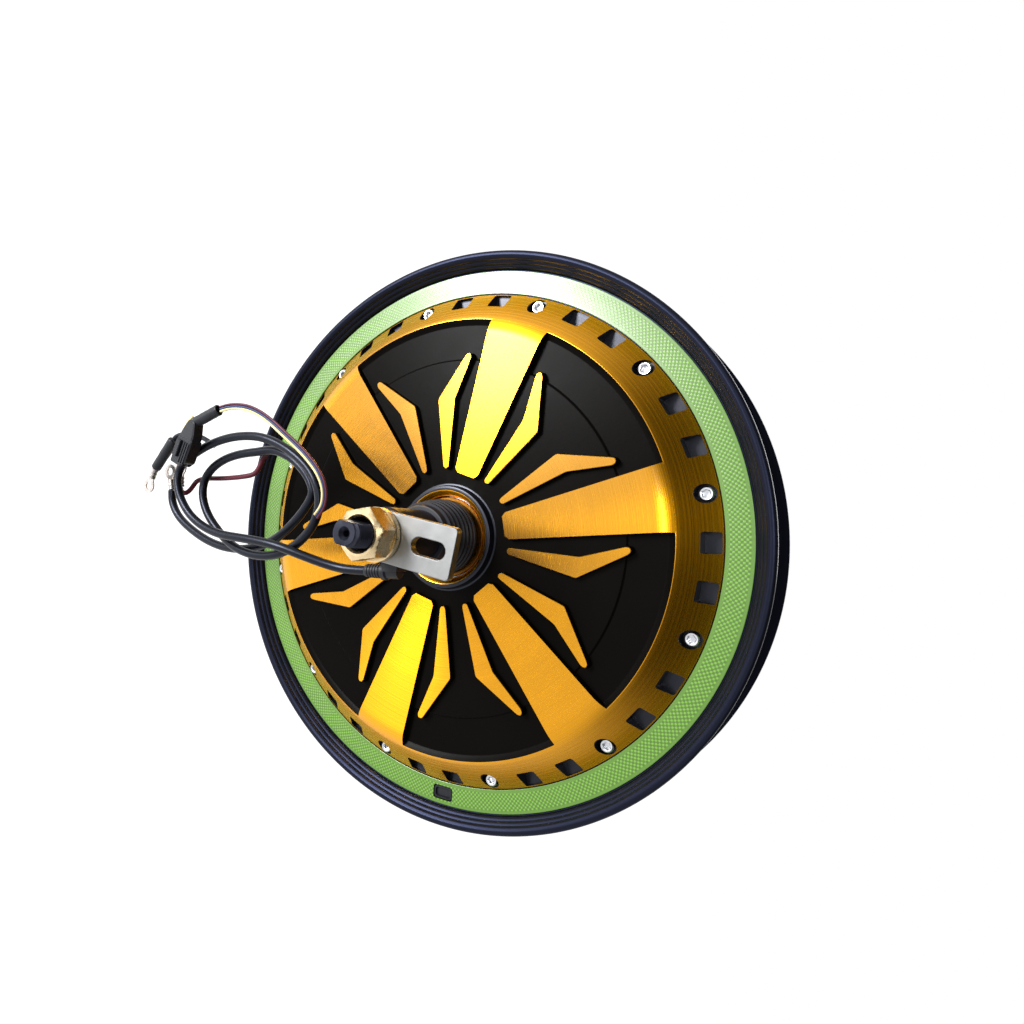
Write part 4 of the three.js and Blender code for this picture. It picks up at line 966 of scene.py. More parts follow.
class HUBMOTOR_OT_cords(bpy.types.Operator):
    """Adds the motor cable, the phase wires, the sensor wires and the pieces on their ends"""

    bl_idname = "hub_motor.cords"
    bl_label = "Cable and wires"

    def execute(self, context):
        values = context.scene.hub_motor.cords
        jacket = shared("jacket", insulation, "black PVC, extruded", tuple(values.jacket), 0.3)
        red = shared("red", insulation, "dark red PVC, extruded", tuple(values.red_wire))
        blue = shared("blue", insulation, "dark blue PVC, extruded", tuple(values.blue_wire))
        cream = shared("cream", insulation, "cream PVC, extruded", tuple(values.cream_wire))
        plug = self.add_plug(cream)
        terminals = [self.add_terminal(i, *ends) for i, ends in enumerate(TERMINALS, 1)]
        sleeve = self.add_sleeve()

        cable = cord_object("motor_lead", CABLE_ROUTE, values.cable_diameter, jacket)
        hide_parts("motor_cable")
        phase = cord_object("phase_lead", PHASE_ROUTE, values.phase_diameter, red)
        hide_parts("phase_wire")
        second = cord_object("second_phase_lead", SECOND_PHASE_ROUTE, values.phase_diameter, jacket)
        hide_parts("second_phase_wire")
        for piece in (cable, phase, second):
            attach(piece, "stator")
        for k, (name, material) in enumerate((("red", red), ("blue", blue), ("cream", cream))):
            wire = cord_object(f"sensor_wire_{name}", SENSOR_ROUTE, values.sensor_diameter, material,
                               sideways=(1 - k) * -SENSOR_SPACING)
            if k == 1:
                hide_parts("hall_wires")
            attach(wire, "stator")
        return {"FINISHED"}

    @staticmethod
    def add_plug(cream):
        """The sensor plug: shrink sleeve, housing with grip ribs and latch, open mouth."""
        nylon, rubber = shared("nylon", moulded_nylon), shared("rubber", moulded_rubber)
        start, end = PLUG_BODY
        long = (Vector(end) - Vector(start)).length
        boot = [(0.2, -2.6), (long * 0.3, -5.2), (long * 0.5, -5.4)]
        boot = rounded(boot + [(x, -y) for x, y in reversed(boot)], 1.6)
        body = lofted([(grown(boot, -1.1), -3.4), (grown(boot, -0.3), -2.9), (boot, -2.0), (boot, 2.0),
                       (grown(boot, -0.3), 2.9), (grown(boot, -1.1), 3.4)])
        housing = mesh_object("sensor_plug", placed(body, start, end), [nylon])
        case = [(long * 0.4, -5.6), (long, -5.6), (long, 2.6), (long * 0.86, 5.6), (long * 0.4, 5.6)]
        case = rounded(case, 0.8)
        shroud = lofted([(grown(case, -0.6), -3.7), (case, -3.2), (case, 3.2), (grown(case, -0.6), 3.7)])
        reshape(housing, placed(shroud, start, end), "UNION")
        ribs = Shape()
        for k in range(3):
            ridge = rounded(rectangle(long * 0.46, 0.9, long * 0.7, 0.9 + 1.7 * k), 0.3, 2)
            ribs.join(lofted([(ridge, 3.2), (ridge, 4.0), (grown(ridge, -0.2), 4.2)]))
        reshape(housing, placed(ribs, start, end), "UNION")
        arm = rounded(rectangle(9, 3.4, long * 0.66, -2.4), 0.6)
        latch = lofted([(arm, 3.0), (arm, 4.9), (grown(arm, -0.4), 5.3)])
        reshape(housing, placed(latch, start, end), "UNION")
        mouth = Shape()
        for row in (-1.6, 1.6):
            for k in (-1, 0, 1):
                cavity = rectangle(5, 2.4, long - 1, 3.2 * k)
                mouth.join(lofted([(cavity, row - 1.1), (cavity, row + 1.1)]))
        reshape(housing, placed(mouth, start, end), "DIFFERENCE")
        finish_piece(housing, "stator", ["hall_plug"], bevel=0.2)

        start, end = PLUG_SLEEVE
        long = (Vector(end) - Vector(start)).length
        wrinkles = [2.9, 2.75, 2.9, 2.8, 2.9, 2.85, 2.9, 2.78, 2.9, 2.9]
        profile = [(1.9, 4.0), (1.9, 0.3), (2.2, 0.0), (2.6, 0.1)]
        profile += [(r, 0.6 + i * (long - 0.8) / 9) for i, r in enumerate(wrinkles)]
        profile += [(2.4, long), (0.0, long), (0.0, 4.0)]
        tube = placed(upright(turned(profile, WIRE_STEPS)), start, end)
        sleeve = mesh_object("plug_sleeve", tube, [rubber])
        finish_piece(sleeve, "stator", sharp=45)
        sleeve.parent = housing
        sleeve.matrix_parent_inverse = housing.matrix_world.inverted()

        # a cream wire is bound along the housing's upper side
        edge = [(-1.0, -3.0, 0.6), (2, -4.5, 1.0), (6, -5.75, 1.2), (11, -5.9, 1.2), (15, -5.85, 1.4)]
        wire = mesh_object("plug_side_wire", placed(cord_profile(edge, 0.6), *PLUG_BODY), [cream])
        finish_piece(wire, "stator", sharp=60)
        return housing

    @staticmethod
    def add_terminal(number, start, end):
        """A ring terminal: crimped barrel, neck and flat ring."""
        tin = shared("tin", tinned_copper)
        reach = 10.5
        crimps = [(1.3, 0.2), (1.9, 0.2), (1.9, 1.2), (1.62, 1.5), (1.62, 2.1), (1.9, 2.4), (1.9, 3.2),
                  (1.62, 3.5), (1.62, 4.1), (1.9, 4.4), (1.9, 5.6), (1.3, 5.6)]
        barrel = placed(upright(turned(crimps, WIRE_STEPS)), start, end)
        piece = mesh_object(f"ring_eye_{number}", barrel, [tin])
        neck = [(4.2, -1.7), (6.2, -1.9), (reach - 3.2, -2.6)]
        neck = rounded(neck + [(x, -y) for x, y in reversed(neck)], 0.6)
        ring, hole = circle(4.1, 48, reach, 0), circle(2.15, WIRE_STEPS, reach, 0)
        steps = ((neck, 0.8, "UNION"), (ring, 0.8, "UNION"), (hole, 4.0, "DIFFERENCE"))
        for outline, thick, operation in steps:
            sheet = lofted([(outline, -thick / 2), (outline, thick / 2)])
            reshape(piece, placed(sheet, start, end), operation)
        finish_piece(piece, "stator", [f"ring_terminal_{number}"], bevel=0.1)
        return piece

    @staticmethod
    def add_sleeve():
        """The black insulating sleeve over a terminal's barrel, slightly wrinkled along its length."""
        rubber = shared("rubber", moulded_rubber)
        start, end = TERMINAL_SLEEVE
        long = (Vector(end) - Vector(start)).length
        profile = [(0.0, 0.0), (2.3, 0.0), (2.7, 0.3)]
        for t in (0.1, 0.25, 0.4, 0.55, 0.7, 0.85):
            profile.append((2.7 + 0.3 * t + 0.08 * math.sin(t * 26), 0.3 + t * (long - 0.9)))
        profile += [(3.0, long - 0.5), (2.7, long), (0.0, long)]
        tube = placed(upright(turned(profile, WIRE_STEPS)), start, end)
        sleeve = mesh_object("insulating_sleeve", tube, [rubber])
        finish_piece(sleeve, "stator", ["terminal_sleeve"], sharp=45)
        return sleeve


def placed(shape, start, end):
    """A shape drawn along x from its own origin, laid from start towards end of the face frame."""
    run = (Vector(end) - Vector(start)).normalized()
    across = Vector((-run.y, run.x, 0)).normalized()
    out = run.cross(across)
    start = Vector(start)
    return shape.mapped(lambda x, y, a: tuple(start + run * x + across * y + out * a))


def upright(shape):
    """Lays a turned shape's own axis along x."""
    return shape.mapped(lambda x, y, a: (a, x, y))


def cord_profile(route, radius, count=10):
    """A short round wire through a few points, as a closed mesh."""
    line = smooth_line(route, 5)
    points = []
    for i, p in enumerate(line):
        run = (line[min(i + 1, len(line) - 1)] - line[max(i - 1, 0)]).normalized()
        side = run.cross(Vector((0, 0, 1))).normalized()
        up = side.cross(run)
        for k in range(count):
            angle = 2 * math.pi * k / count
            points.append(p + side * (radius * math.cos(angle)) + up * (radius * math.sin(angle)))
    faces = [list(range(count)), list(range(len(points) - count, len(points)))[::-1]]
    for i in range(len(line) - 1):
        for k in range(count):
            j = (k + 1) % count
            faces.append([i * count + k, i * count + j, (i + 1) * count + j, (i + 1) * count + k])
    return Shape().add(points, faces, [0] * len(faces))


# ---------------------------------------------------------------------------
# Rim and band
# ---------------------------------------------------------------------------

SCREW_CIRCLE = 118.6  # radius of the ring of cover screws
SHANK_R = 2.0
CLEAR = 0.3  # gap round a piece that sits in another
HOLE_FOOT = 6.0  # a shank hole starts this far from the middle plane
CUT_OVER = 8.0  # a cutter stands this far out of the face it cuts
FRONT_SCREWS = 12
REAR_SCREWS = 6
REAR_SCREW_PHASE = 30.0  # the first rear screw, clockwise from the first spoke
SEAT = 10.0  # height of the ledge that the covers sit on
VALVE_AT = 184.0 - WHEEL_TURN  # clockwise from the first spoke
VALVE_R = 129.55
VALVE_SIZE = (11.0, 7.0)  # round the rim and across it


def at_valve(shape):
    """A shape drawn round the face frame's middle, moved to the valve's place."""
    return shape.mapped(lambda x, y, a: (x, y + VALVE_R, a)).around(1, VALVE_AT)


def valve_hole(low, high):
    """The valve's opening, as a cutter."""
    outline = rounded(rectangle(*VALVE_SIZE), 1.8, 5)
    return at_valve(lofted([(outline, low), (outline, high)]))


def shank_holes(count, phase, low, high):
    """The screws' clearance holes, as a cutter."""
    x, y = polar(SCREW_CIRCLE, 0)
    outline = circle(SHANK_R + CLEAR, 24, x, y)
    return lofted([(outline, low), (outline, high)]).around(count, phase)


class HUBMOTOR_OT_rim(bpy.types.Operator):
    """Adds the cast rim with its two stepped flanges, tyre well and screw holes"""

    bl_idname = "hub_motor.rim"
    bl_label = "Rim"

    def execute(self, context):
        values = context.scene.hub_motor.rim
        paint = shared("rim paint", gloss_black, tuple(values.paint), 0.25, "a9b6f2")
        lip, top, step = values.lip_radius / MM, values.lip_height / MM, values.ridge_height / MM
        half = [(110.4, SEAT), (123.6, SEAT), (123.6, 13.8), (135.5, 13.8), (135.9, 14.0), (136.1, 14.5)]
        # the flange's face climbs to the lip in three turned steps
        climb_r, climb_a = (lip - 3.0 - 136.1) / 3, (top - 0.3 - 14.5) / 3
        for k in range(3):
            r, a = 136.1 + k * climb_r, 14.5 + k * climb_a
            half += [(r + step * 0.4, a + climb_a * 0.45), (r + climb_r * 0.45, a + climb_a * 0.8),
                     (r + climb_r * 0.9, a + climb_a * 0.95), (r + climb_r, a + climb_a)]
        half += [(lip - 2.6, top - 0.05), (lip - 2.0, top), (lip - 1.2, top - 0.05), (lip - 0.6, top - 0.3),
                 (lip - 0.2, top - 0.8), (lip, top - 1.5), (lip, top - 2.4), (lip - 0.3, top - 3.0),
                 (lip - 1.2, top - 3.4), (lip - 2.4, top - 4.0), (lip - 7.4, 11.8), (134.9, 10.8),
                 (133.0, 10.3), (127.4, 10.0), (126.7, 9.7), (126.5, 9.0), (126.4, 7.6), (125.8, 7.0),
                 (122.8, 5.9), (122.1, 5.2)]
        profile = half + mirrored(reversed(half), -1)
        rim = mesh_object("cast_rim", turned(profile, RING_STEPS), [paint], WHEEL_TURN)
        low, high = SEAT - 6.5 - CLEAR, SEAT + 2
        holes = shank_holes(FRONT_SCREWS, 0, low, high)
        holes.join(shank_holes(REAR_SCREWS, REAR_SCREW_PHASE, -high, -low))
        reshape(rim, holes.join(valve_hole(SEAT + CLEAR, 24)), "DIFFERENCE", WHEEL_TURN)
        finish_piece(rim, "wheel", ["motor_shell", "front_flange", "rear_flange"], sharp=40)
        return {"FINISHED"}


class HUBMOTOR_OT_band(bpy.types.Operator):
    """Adds the green reflective band and the rubber plug in its valve opening"""

    bl_idname = "hub_motor.band"
    bl_label = "Reflective band"

    def execute(self, context):
        values = context.scene.hub_motor.band
        inner, width = values.inner_radius / MM, values.width / MM
        low, high = along_axle("reflective_band")
        tape = shared("tape", reflective_tape, tuple(values.colour), values.cell_pitch / MM, inner, width)
        outer = inner + width
        profile = [(inner, low), (outer, low), (outer, high - 0.2), (outer - 0.25, high),
                   (inner + 0.25, high), (inner, high - 0.2)]
        band = mesh_object("reflective_tape", turned(profile, RING_STEPS), [tape], WHEEL_TURN)
        reshape(band, valve_hole(low - 3, high + 3), "DIFFERENCE", WHEEL_TURN)
        finish_piece(band, "wheel", ["reflective_band"], sharp=50)

        rubber = shared("rubber", moulded_rubber)
        foot, mouth = along_axle("valve_plug")
        sections = []
        steps = ((CLEAR, foot), (CLEAR, mouth - 0.4), (0.65, mouth), (1.2, mouth), (1.5, mouth - 1.2))
        for inset, height in steps:
            sides = [size - 2 * inset for size in VALVE_SIZE]
            sections.append((rounded(rectangle(*sides), 1.6, 5), height))
        piece = mesh_object("valve_bung", at_valve(lofted(sections)), [rubber], WHEEL_TURN)
        finish_piece(piece, "wheel", ["valve_plug"])
        return {"FINISHED"}


# ---------------------------------------------------------------------------
# Covers
# ---------------------------------------------------------------------------

GOLD, BLACK, POCKET_BLACK = 0, 1, 2  # a cover's finishes
SPOKES = 6
CONE_TOP_R = 109.55  # where the rounded shoulder meets the outer cone
SHOULDER_START_R = 100.0  # where the flat face starts to bend down
SHOULDER_BEND = 13.505  # radius of the rounded shoulder
BEARING_BORE = 20.3
BOSS_BORE = 22.7
BOSS_R = 25.0
CAVITY_R = 111.2  # inside of a cover's wall
PANEL_STEP_R = 87.0  # the panels rise by a small step inside this radius
STEP_RISE = 0.9
BEVEL_RUN = 2.6  # width of the slope round the panels' outer arc
SPOKE_START_R = 32.0
LEAN = 0.9  # a raised wall leans out this far at its foot
FOOTING = 1.2  # spokes and blades reach this far into the panels
BLADE_EASE = 0.18  # chamfer along a blade's top
RECESS_R = 4.1  # a screw head's well
RECESS_FLOOR = 13.2
RECESS_STEPS = 40
POCKET = (9.2, 115.5, 122.8, 12.4)  # width, inner and outer radius, floor
POCKET_ANGLES = (10.0, 20.0)
BLADE = (  # the blade beside the first spoke, from its tip round by the spoke's side
    (17.74, 86.36), (19.14, 65.46), (10.33, 32.9), (11.35, 31.6), (12.85, 31.8),
    (13.73, 33.1), (28.06, 62.16), (21.14, 86.56), (20.29, 88.06), (18.59, 88.06),
)


class HUBMOTOR_OT_front_cover(bpy.types.Operator):
    """Adds the front cover: gold turned ring, spokes and blades over black panels"""

    bl_idname = "hub_motor.front_cover"
    bl_label = "Front cover"

    def execute(self, context):
        values = context.scene.hub_motor.cover
        paint = tuple(context.scene.hub_motor.rim.paint)
        materials = [
            shared("gold", gold_lacquer, tuple(values.gold)),
            shared("enamel", satin_black, tuple(values.black), 0.03),
            shared("wet paint", gloss_black, paint, 0.5, "d9dcec"),
        ]
        edge, face = values.edge_radius / MM, values.face_height / MM
        arc, floor = values.arc_radius / MM, face - values.panel_depth / MM
        inner_floor, boss = floor + STEP_RISE, face + 1.0
        cone_top = face - SHOULDER_BEND * (1 - math.sqrt(0.5))

        def shoulder(r):
            """Height of the rounded shoulder at a radius."""
            return face - SHOULDER_BEND + math.sqrt(SHOULDER_BEND**2 - max(r - SHOULDER_START_R, 0) ** 2)

        def cone(r):
            """Height of the outer cone at a radius."""
            return cone_top - (r - CONE_TOP_R)

        outside = [  # radius, height, finish of the surface that follows
            (edge, 10.3, GOLD), (edge, cone(edge) + 0.1, GOLD), (edge - 0.3, cone(edge) + 0.4, GOLD),
            (edge - 0.7, cone(edge - 0.7), GOLD), (CONE_TOP_R, cone_top, GOLD),
            (109.0, shoulder(109.0), GOLD), (108.3, shoulder(108.3), GOLD),
            (arc + 0.25, shoulder(arc + 0.25), GOLD), (arc, shoulder(arc) - 0.15, BLACK),
            (arc - BEVEL_RUN * 0.5, floor + (shoulder(arc) - floor) * 0.42, BLACK),
            (arc - BEVEL_RUN, floor + 0.06, BLACK), (arc - BEVEL_RUN - 0.5, floor, BLACK),
            (PANEL_STEP_R + 1.2, floor, BLACK), (PANEL_STEP_R + 0.9, floor + 0.1, BLACK),
            (PANEL_STEP_R + 0.2, inner_floor - 0.1, BLACK), (PANEL_STEP_R - 0.2, inner_floor, BLACK),
            (BOSS_R + 1.4, inner_floor, POCKET_BLACK), (BOSS_R + 0.6, inner_floor + 0.25, POCKET_BLACK),
            (BOSS_R + 0.2, inner_floor + 1.0, POCKET_BLACK), (BOSS_R, boss - 0.7, POCKET_BLACK),
            (BOSS_R - 0.2, boss - 0.2, POCKET_BLACK), (BOSS_R - 0.7, boss, POCKET_BLACK),
            (BOSS_BORE + 0.3, boss, GOLD), (BOSS_BORE - 0.25, boss - 0.3, GOLD),
            (BOSS_BORE - 1.2, boss - 1.2, GOLD), (BEARING_BORE, 29.9, GOLD), (BEARING_BORE, 15.7, BLACK),
            (17.7, 15.7, BLACK), (17.7, 14.2, BLACK), (26.3, 14.2, BLACK), (26.3, 25.0, BLACK),
            (102.2, 25.0, BLACK), (CAVITY_R, 16.0, BLACK), (CAVITY_R, 10.3, BLACK),
        ]
        profile, kinds = [p[:2] for p in outside], [p[2] for p in outside]
        cover = mesh_object("machined_cover", turned(profile, RING_STEPS, kinds), materials, WHEEL_TURN)
        self.cut_openings(cover, face + CUT_OVER)

        # the blank that is turned to the spokes' outer shape
        rim_r = arc + 2.5
        lathe = [(0, floor - 2), (rim_r, floor - 2), (rim_r, cone(rim_r)), (CONE_TOP_R, cone_top)]
        lathe += [(r, shoulder(r)) for r in (109, 108, 107, 106, 105, 104, 103, 102, 101, SHOULDER_START_R)]
        lathe.append((0, face))
        half_in, half_out = values.spoke_inner / MM / 2, values.spoke_outer / MM / 2
        reach = arc + 1.2
        half = half_in + (half_out - half_in) / (arc - SPOKE_START_R) * (reach - SPOKE_START_R)
        tip, side = SPOKE_START_R, SPOKE_START_R + 1.8
        spoke = [(-half_in + 1.6, tip), (half_in - 1.6, tip), (half_in, side),
                 (half, reach), (-half, reach), (-half_in, side)]
        foot = floor - FOOTING
        figure = lofted([(grown(spoke, LEAN), foot), (spoke, face + 0.5)], BLACK, GOLD)
        spokes = mesh_object("spokes", figure.around(SPOKES), materials, WHEEL_TURN)
        reshape(spokes, turned(lathe, RING_STEPS), "INTERSECT", WHEEL_TURN)

        blade = rounded(list(BLADE), 0.9, 3)
        raised = Shape()
        for sign in (1, -1):
            outline = [(sign * x, y) for x, y in blade][::sign]
            top = grown(outline, -BLADE_EASE)
            sections = [(grown(outline, LEAN), foot), (outline, face - BLADE_EASE), (top, face)]
            raised.join(lofted(sections, BLACK, GOLD))
        blades = mesh_object("blades", raised.around(SPOKES), materials, WHEEL_TURN)
        combine(cover, spokes, "UNION")
        combine(cover, blades, "UNION")
        finish_piece(cover, "wheel", ["front_cover"], sharp=30)
        return {"FINISHED"}

    @staticmethod
    def cut_openings(cover, above):
        """Cuts the black pockets, the screw recesses and the holes under them out of the blank."""
        width, low, high, pocket_floor = POCKET
        pocket = rounded(rectangle(width, high - low, 0, (low + high) / 2), 1.1, 3)
        recess = circle(RECESS_R, RECESS_STEPS, 0, SCREW_CIRCLE)
        well = lofted([(recess, RECESS_FLOOR), (recess, above)], POCKET_BLACK, POCKET_BLACK)
        block = lofted([(pocket, pocket_floor), (pocket, above)], POCKET_BLACK, POCKET_BLACK)
        cutters = well.around(FRONT_SCREWS)
        for angle in POCKET_ANGLES:
            cutters.join(block.around(FRONT_SCREWS, angle))
        reshape(cover, cutters, "DIFFERENCE", WHEEL_TURN)
        holes = shank_holes(FRONT_SCREWS, 0, HOLE_FOOT, RECESS_FLOOR + 1)
        reshape(cover, holes, "DIFFERENCE", WHEEL_TURN)


class HUBMOTOR_OT_rear_cover(bpy.types.Operator):
    """Adds the plain rear cover with its ribs and screw recesses"""

    bl_idname = "hub_motor.rear_cover"
    bl_label = "Rear cover"

    def execute(self, context):
        values = context.scene.hub_motor.cover
        enamel = shared("rear enamel", satin_black, shade(tuple(values.black), 4.0), 0.35)
        edge = values.edge_radius / MM
        profile = [(BEARING_BORE, 15.7), (17.7, 15.7), (17.7, 14.2), (26.3, 14.2), (26.9, 23.6),
                   (103.6, 23.6), (CAVITY_R, 16.0), (CAVITY_R, 10.3), (edge, 10.3), (edge, 13.8),
                   (edge - 0.4, 14.3), (110.0, 24.6), (108.4, 25.9), (106.6, 26.7), (104.6, 27.0),
                   (96.0, 27.0), (95.6, 26.5), (93.4, 26.5), (93.0, 27.0), (31.0, 27.0), (29.4, 27.2),
                   (28.2, 28.0), (25.8, 31.8), (25.4, 32.6), (24.8, 33.0), (BOSS_BORE, 33.0),
                   (BOSS_BORE - 0.6, 32.4), (BEARING_BORE, 29.9)]
        blank = turned(mirrored(profile, -1), RING_STEPS)
        cover = mesh_object("ribbed_cover", blank, [enamel], WHEEL_TURN)
        rib_out = rounded([(-1.5, 29), (1.5, 29), (1.5, 98), (-1.5, 98)], 1.2)
        rib = lofted([(grown(rib_out, -0.5), -28.7), (rib_out, -28.3), (grown(rib_out, 0.4), -26.0)])
        reshape(cover, rib.around(SPOKES), "UNION", WHEEL_TURN)
        recess = circle(RECESS_R, RECESS_STEPS, 0, SCREW_CIRCLE)
        cutters = lofted([(recess, -31), (recess, -RECESS_FLOOR)]).around(REAR_SCREWS, REAR_SCREW_PHASE)
        reshape(cover, cutters, "DIFFERENCE", WHEEL_TURN)
        holes = shank_holes(REAR_SCREWS, REAR_SCREW_PHASE, -RECESS_FLOOR - 1, -HOLE_FOOT)
        reshape(cover, holes, "DIFFERENCE", WHEEL_TURN)
        finish_piece(cover, "wheel", ["rear_cover"], sharp=30)
        return {"FINISHED"}


def hexagon(flats):
    """Radius of a hexagon at an angle, from its size across flats."""
    return lambda degrees: flats / 2 / math.cos(math.radians((degrees + 30) % 60 - 30))


class HUBMOTOR_OT_screws(bpy.types.Operator):
    """Adds the socket-head screws of both covers"""

    bl_idname = "hub_motor.screws"
    bl_label = "Cover screws"

    def execute(self, context):
        steel = shared("screw steel", bright_steel)
        for name, head, count, phase, side, node in (
            ("front_cap_screws", 4.0, FRONT_SCREWS, 0.0, 1, "cover_screw"),
            ("rear_cap_screws", 3.2, REAR_SCREWS, REAR_SCREW_PHASE, -1, "rear_screw"),
        ):
            socket = hexagon(3.0)
            profile = [(0, -9.7), (SHANK_R - 0.4, -9.7), (SHANK_R, -9.2), (SHANK_R, 0), (2.9, 0),
                       (3.1, 0.2), (3.1, head - 0.7), (2.95, head - 0.3), (2.6, head), (1.95, head),
                       (socket, head - 0.25), (socket, head * 0.45), (0, head * 0.4)]
            screw = turned(profile, SCREW_STEPS).mapped(
                lambda x, y, a, side=side: (x * side, y + SCREW_CIRCLE, side * (a + RECESS_FLOOR + CLEAR))
            )
            piece = mesh_object(name, screw.around(count, phase), [steel], WHEEL_TURN)
            finish_piece(piece, "wheel", [f"{node}_{i + 1}" for i in range(count)], sharp=40)
        return {"FINISHED"}


# ---------------------------------------------------------------------------
# Axle and what it carries
# ---------------------------------------------------------------------------

NUT_TURN = -8.0  # how far the front nut is turned, degrees
PLATE_BACK = 13.0  # the plate's round inner end reaches this far past the axle's line
PLATE_TURN = 12.6  # the plate and the axle's flats lean below the face frame's x, degrees
AXLE_SEAT = (12.5, 15.0)  # radius and half length under the stator
AXLE_BEARING_R = 8.5  # radius under the bearings
FRONT_SHOULDER, REAR_SHOULDER = 85.0, -58.0  # the threads start beyond these
GLAND_DROP = 16.0  # the gland's neck lies this far below the axle
GLAND_AT = 76.0  # and this far out along it


def lean(shape, degrees=PLATE_TURN):
    """Turns a shape clockwise about the axle."""
    return shape.around(1, degrees)


class HUBMOTOR_OT_axle(bpy.types.Operator):
    """Adds the stepped axle with its two threaded, flattened ends"""

    bl_idname = "hub_motor.axle"
    bl_label = "Axle"

    def execute(self, context):
        values = context.scene.hub_motor.axle
        steel = shared("oxide", black_oxide, tuple(values.colour))
        thread_r, pitch = values.thread_radius / MM, values.thread_pitch / MM
        flat = values.across_flats / MM / 2
        rear, front = along_axle("axle")
        rows = []

        def threaded(start, end, tapers_up):
            """Adds a stretch of thread, which fades out at the axle's tip."""
            count = int((end - start) / (pitch / 6))
            for k in range(count + 1):
                a = start + (end - start) * k / count
                ease = min(1.0, (end - a if tapers_up else a - start) / 1.4)
                rows.append((self.ridge(a, thread_r - 1.4 * (1 - ease), pitch), a, True))

        # the centre hole at each end, then the thread, then the turned steps between
        rows += [(0.0, rear + 5, False), (1.5, rear + 5, False)]
        rows += [(1.5, rear + 1.5, False), (2.9, rear, False)]
        threaded(rear, REAR_SHOULDER, False)
        rows += [(r, a, False) for r, a in (
            (AXLE_BEARING_R - 0.5, REAR_SHOULDER), (AXLE_BEARING_R, REAR_SHOULDER + 0.5),
            (AXLE_BEARING_R, -AXLE_SEAT[1]),
            (AXLE_SEAT[0] - 0.5, -AXLE_SEAT[1]), (AXLE_SEAT[0], -AXLE_SEAT[1] + 0.5),
            (AXLE_SEAT[0], AXLE_SEAT[1] - 0.5), (AXLE_SEAT[0] - 0.5, AXLE_SEAT[1]),
            (AXLE_BEARING_R, AXLE_SEAT[1]),
            (AXLE_BEARING_R, FRONT_SHOULDER - 0.5), (AXLE_BEARING_R - 0.5, FRONT_SHOULDER))]
        threaded(FRONT_SHOULDER, front, True)
        rows += [(2.9, front, False), (1.5, front - 1.5, False)]
        rows += [(1.5, front - 5, False), (0.0, front - 5, False)]
        axle = turned([(r, a) for r, a, _ in rows], HUB_STEPS, closed=False)
        ends = [a for _, a, is_thread in rows if is_thread]
        tips = (min(ends), max(a for a in ends if a < 0), min(a for a in ends if a > 0), max(ends))

        def flatten(x, y, a):
            """Presses the threaded ends in between the two flats."""
            inside = tips[0] <= a <= tips[1] or tips[2] <= a <= tips[3]
            return (x, max(-flat, min(flat, y)), a) if inside else (x, y, a)

        piece = mesh_object("threaded_axle", lean(axle.mapped(flatten)), [steel])
        # the slot along the axle's underside that the inner lead runs in
        lead = rectangle(4.6, 12, 0, -9.6)
        slot = lofted([(lead, 12.0), (lead, 82.0)])
        reshape(piece, slot, "DIFFERENCE")
        finish_piece(piece, "stator", ["axle"], sharp=38)
        return {"FINISHED"}

    @staticmethod
    def ridge(a, crest, pitch):
        """Radius of a thread at height a, as a function of the angle."""
        depth = 0.6 * pitch

        def radius(degrees):
            """The crest's radius, less the groove where it passes."""
            turn = (a / pitch - degrees / 360) % 1.0
            return crest - depth * min(1.0, max(0.0, abs(turn - 0.5) * 2.5 - 0.125))

        return radius


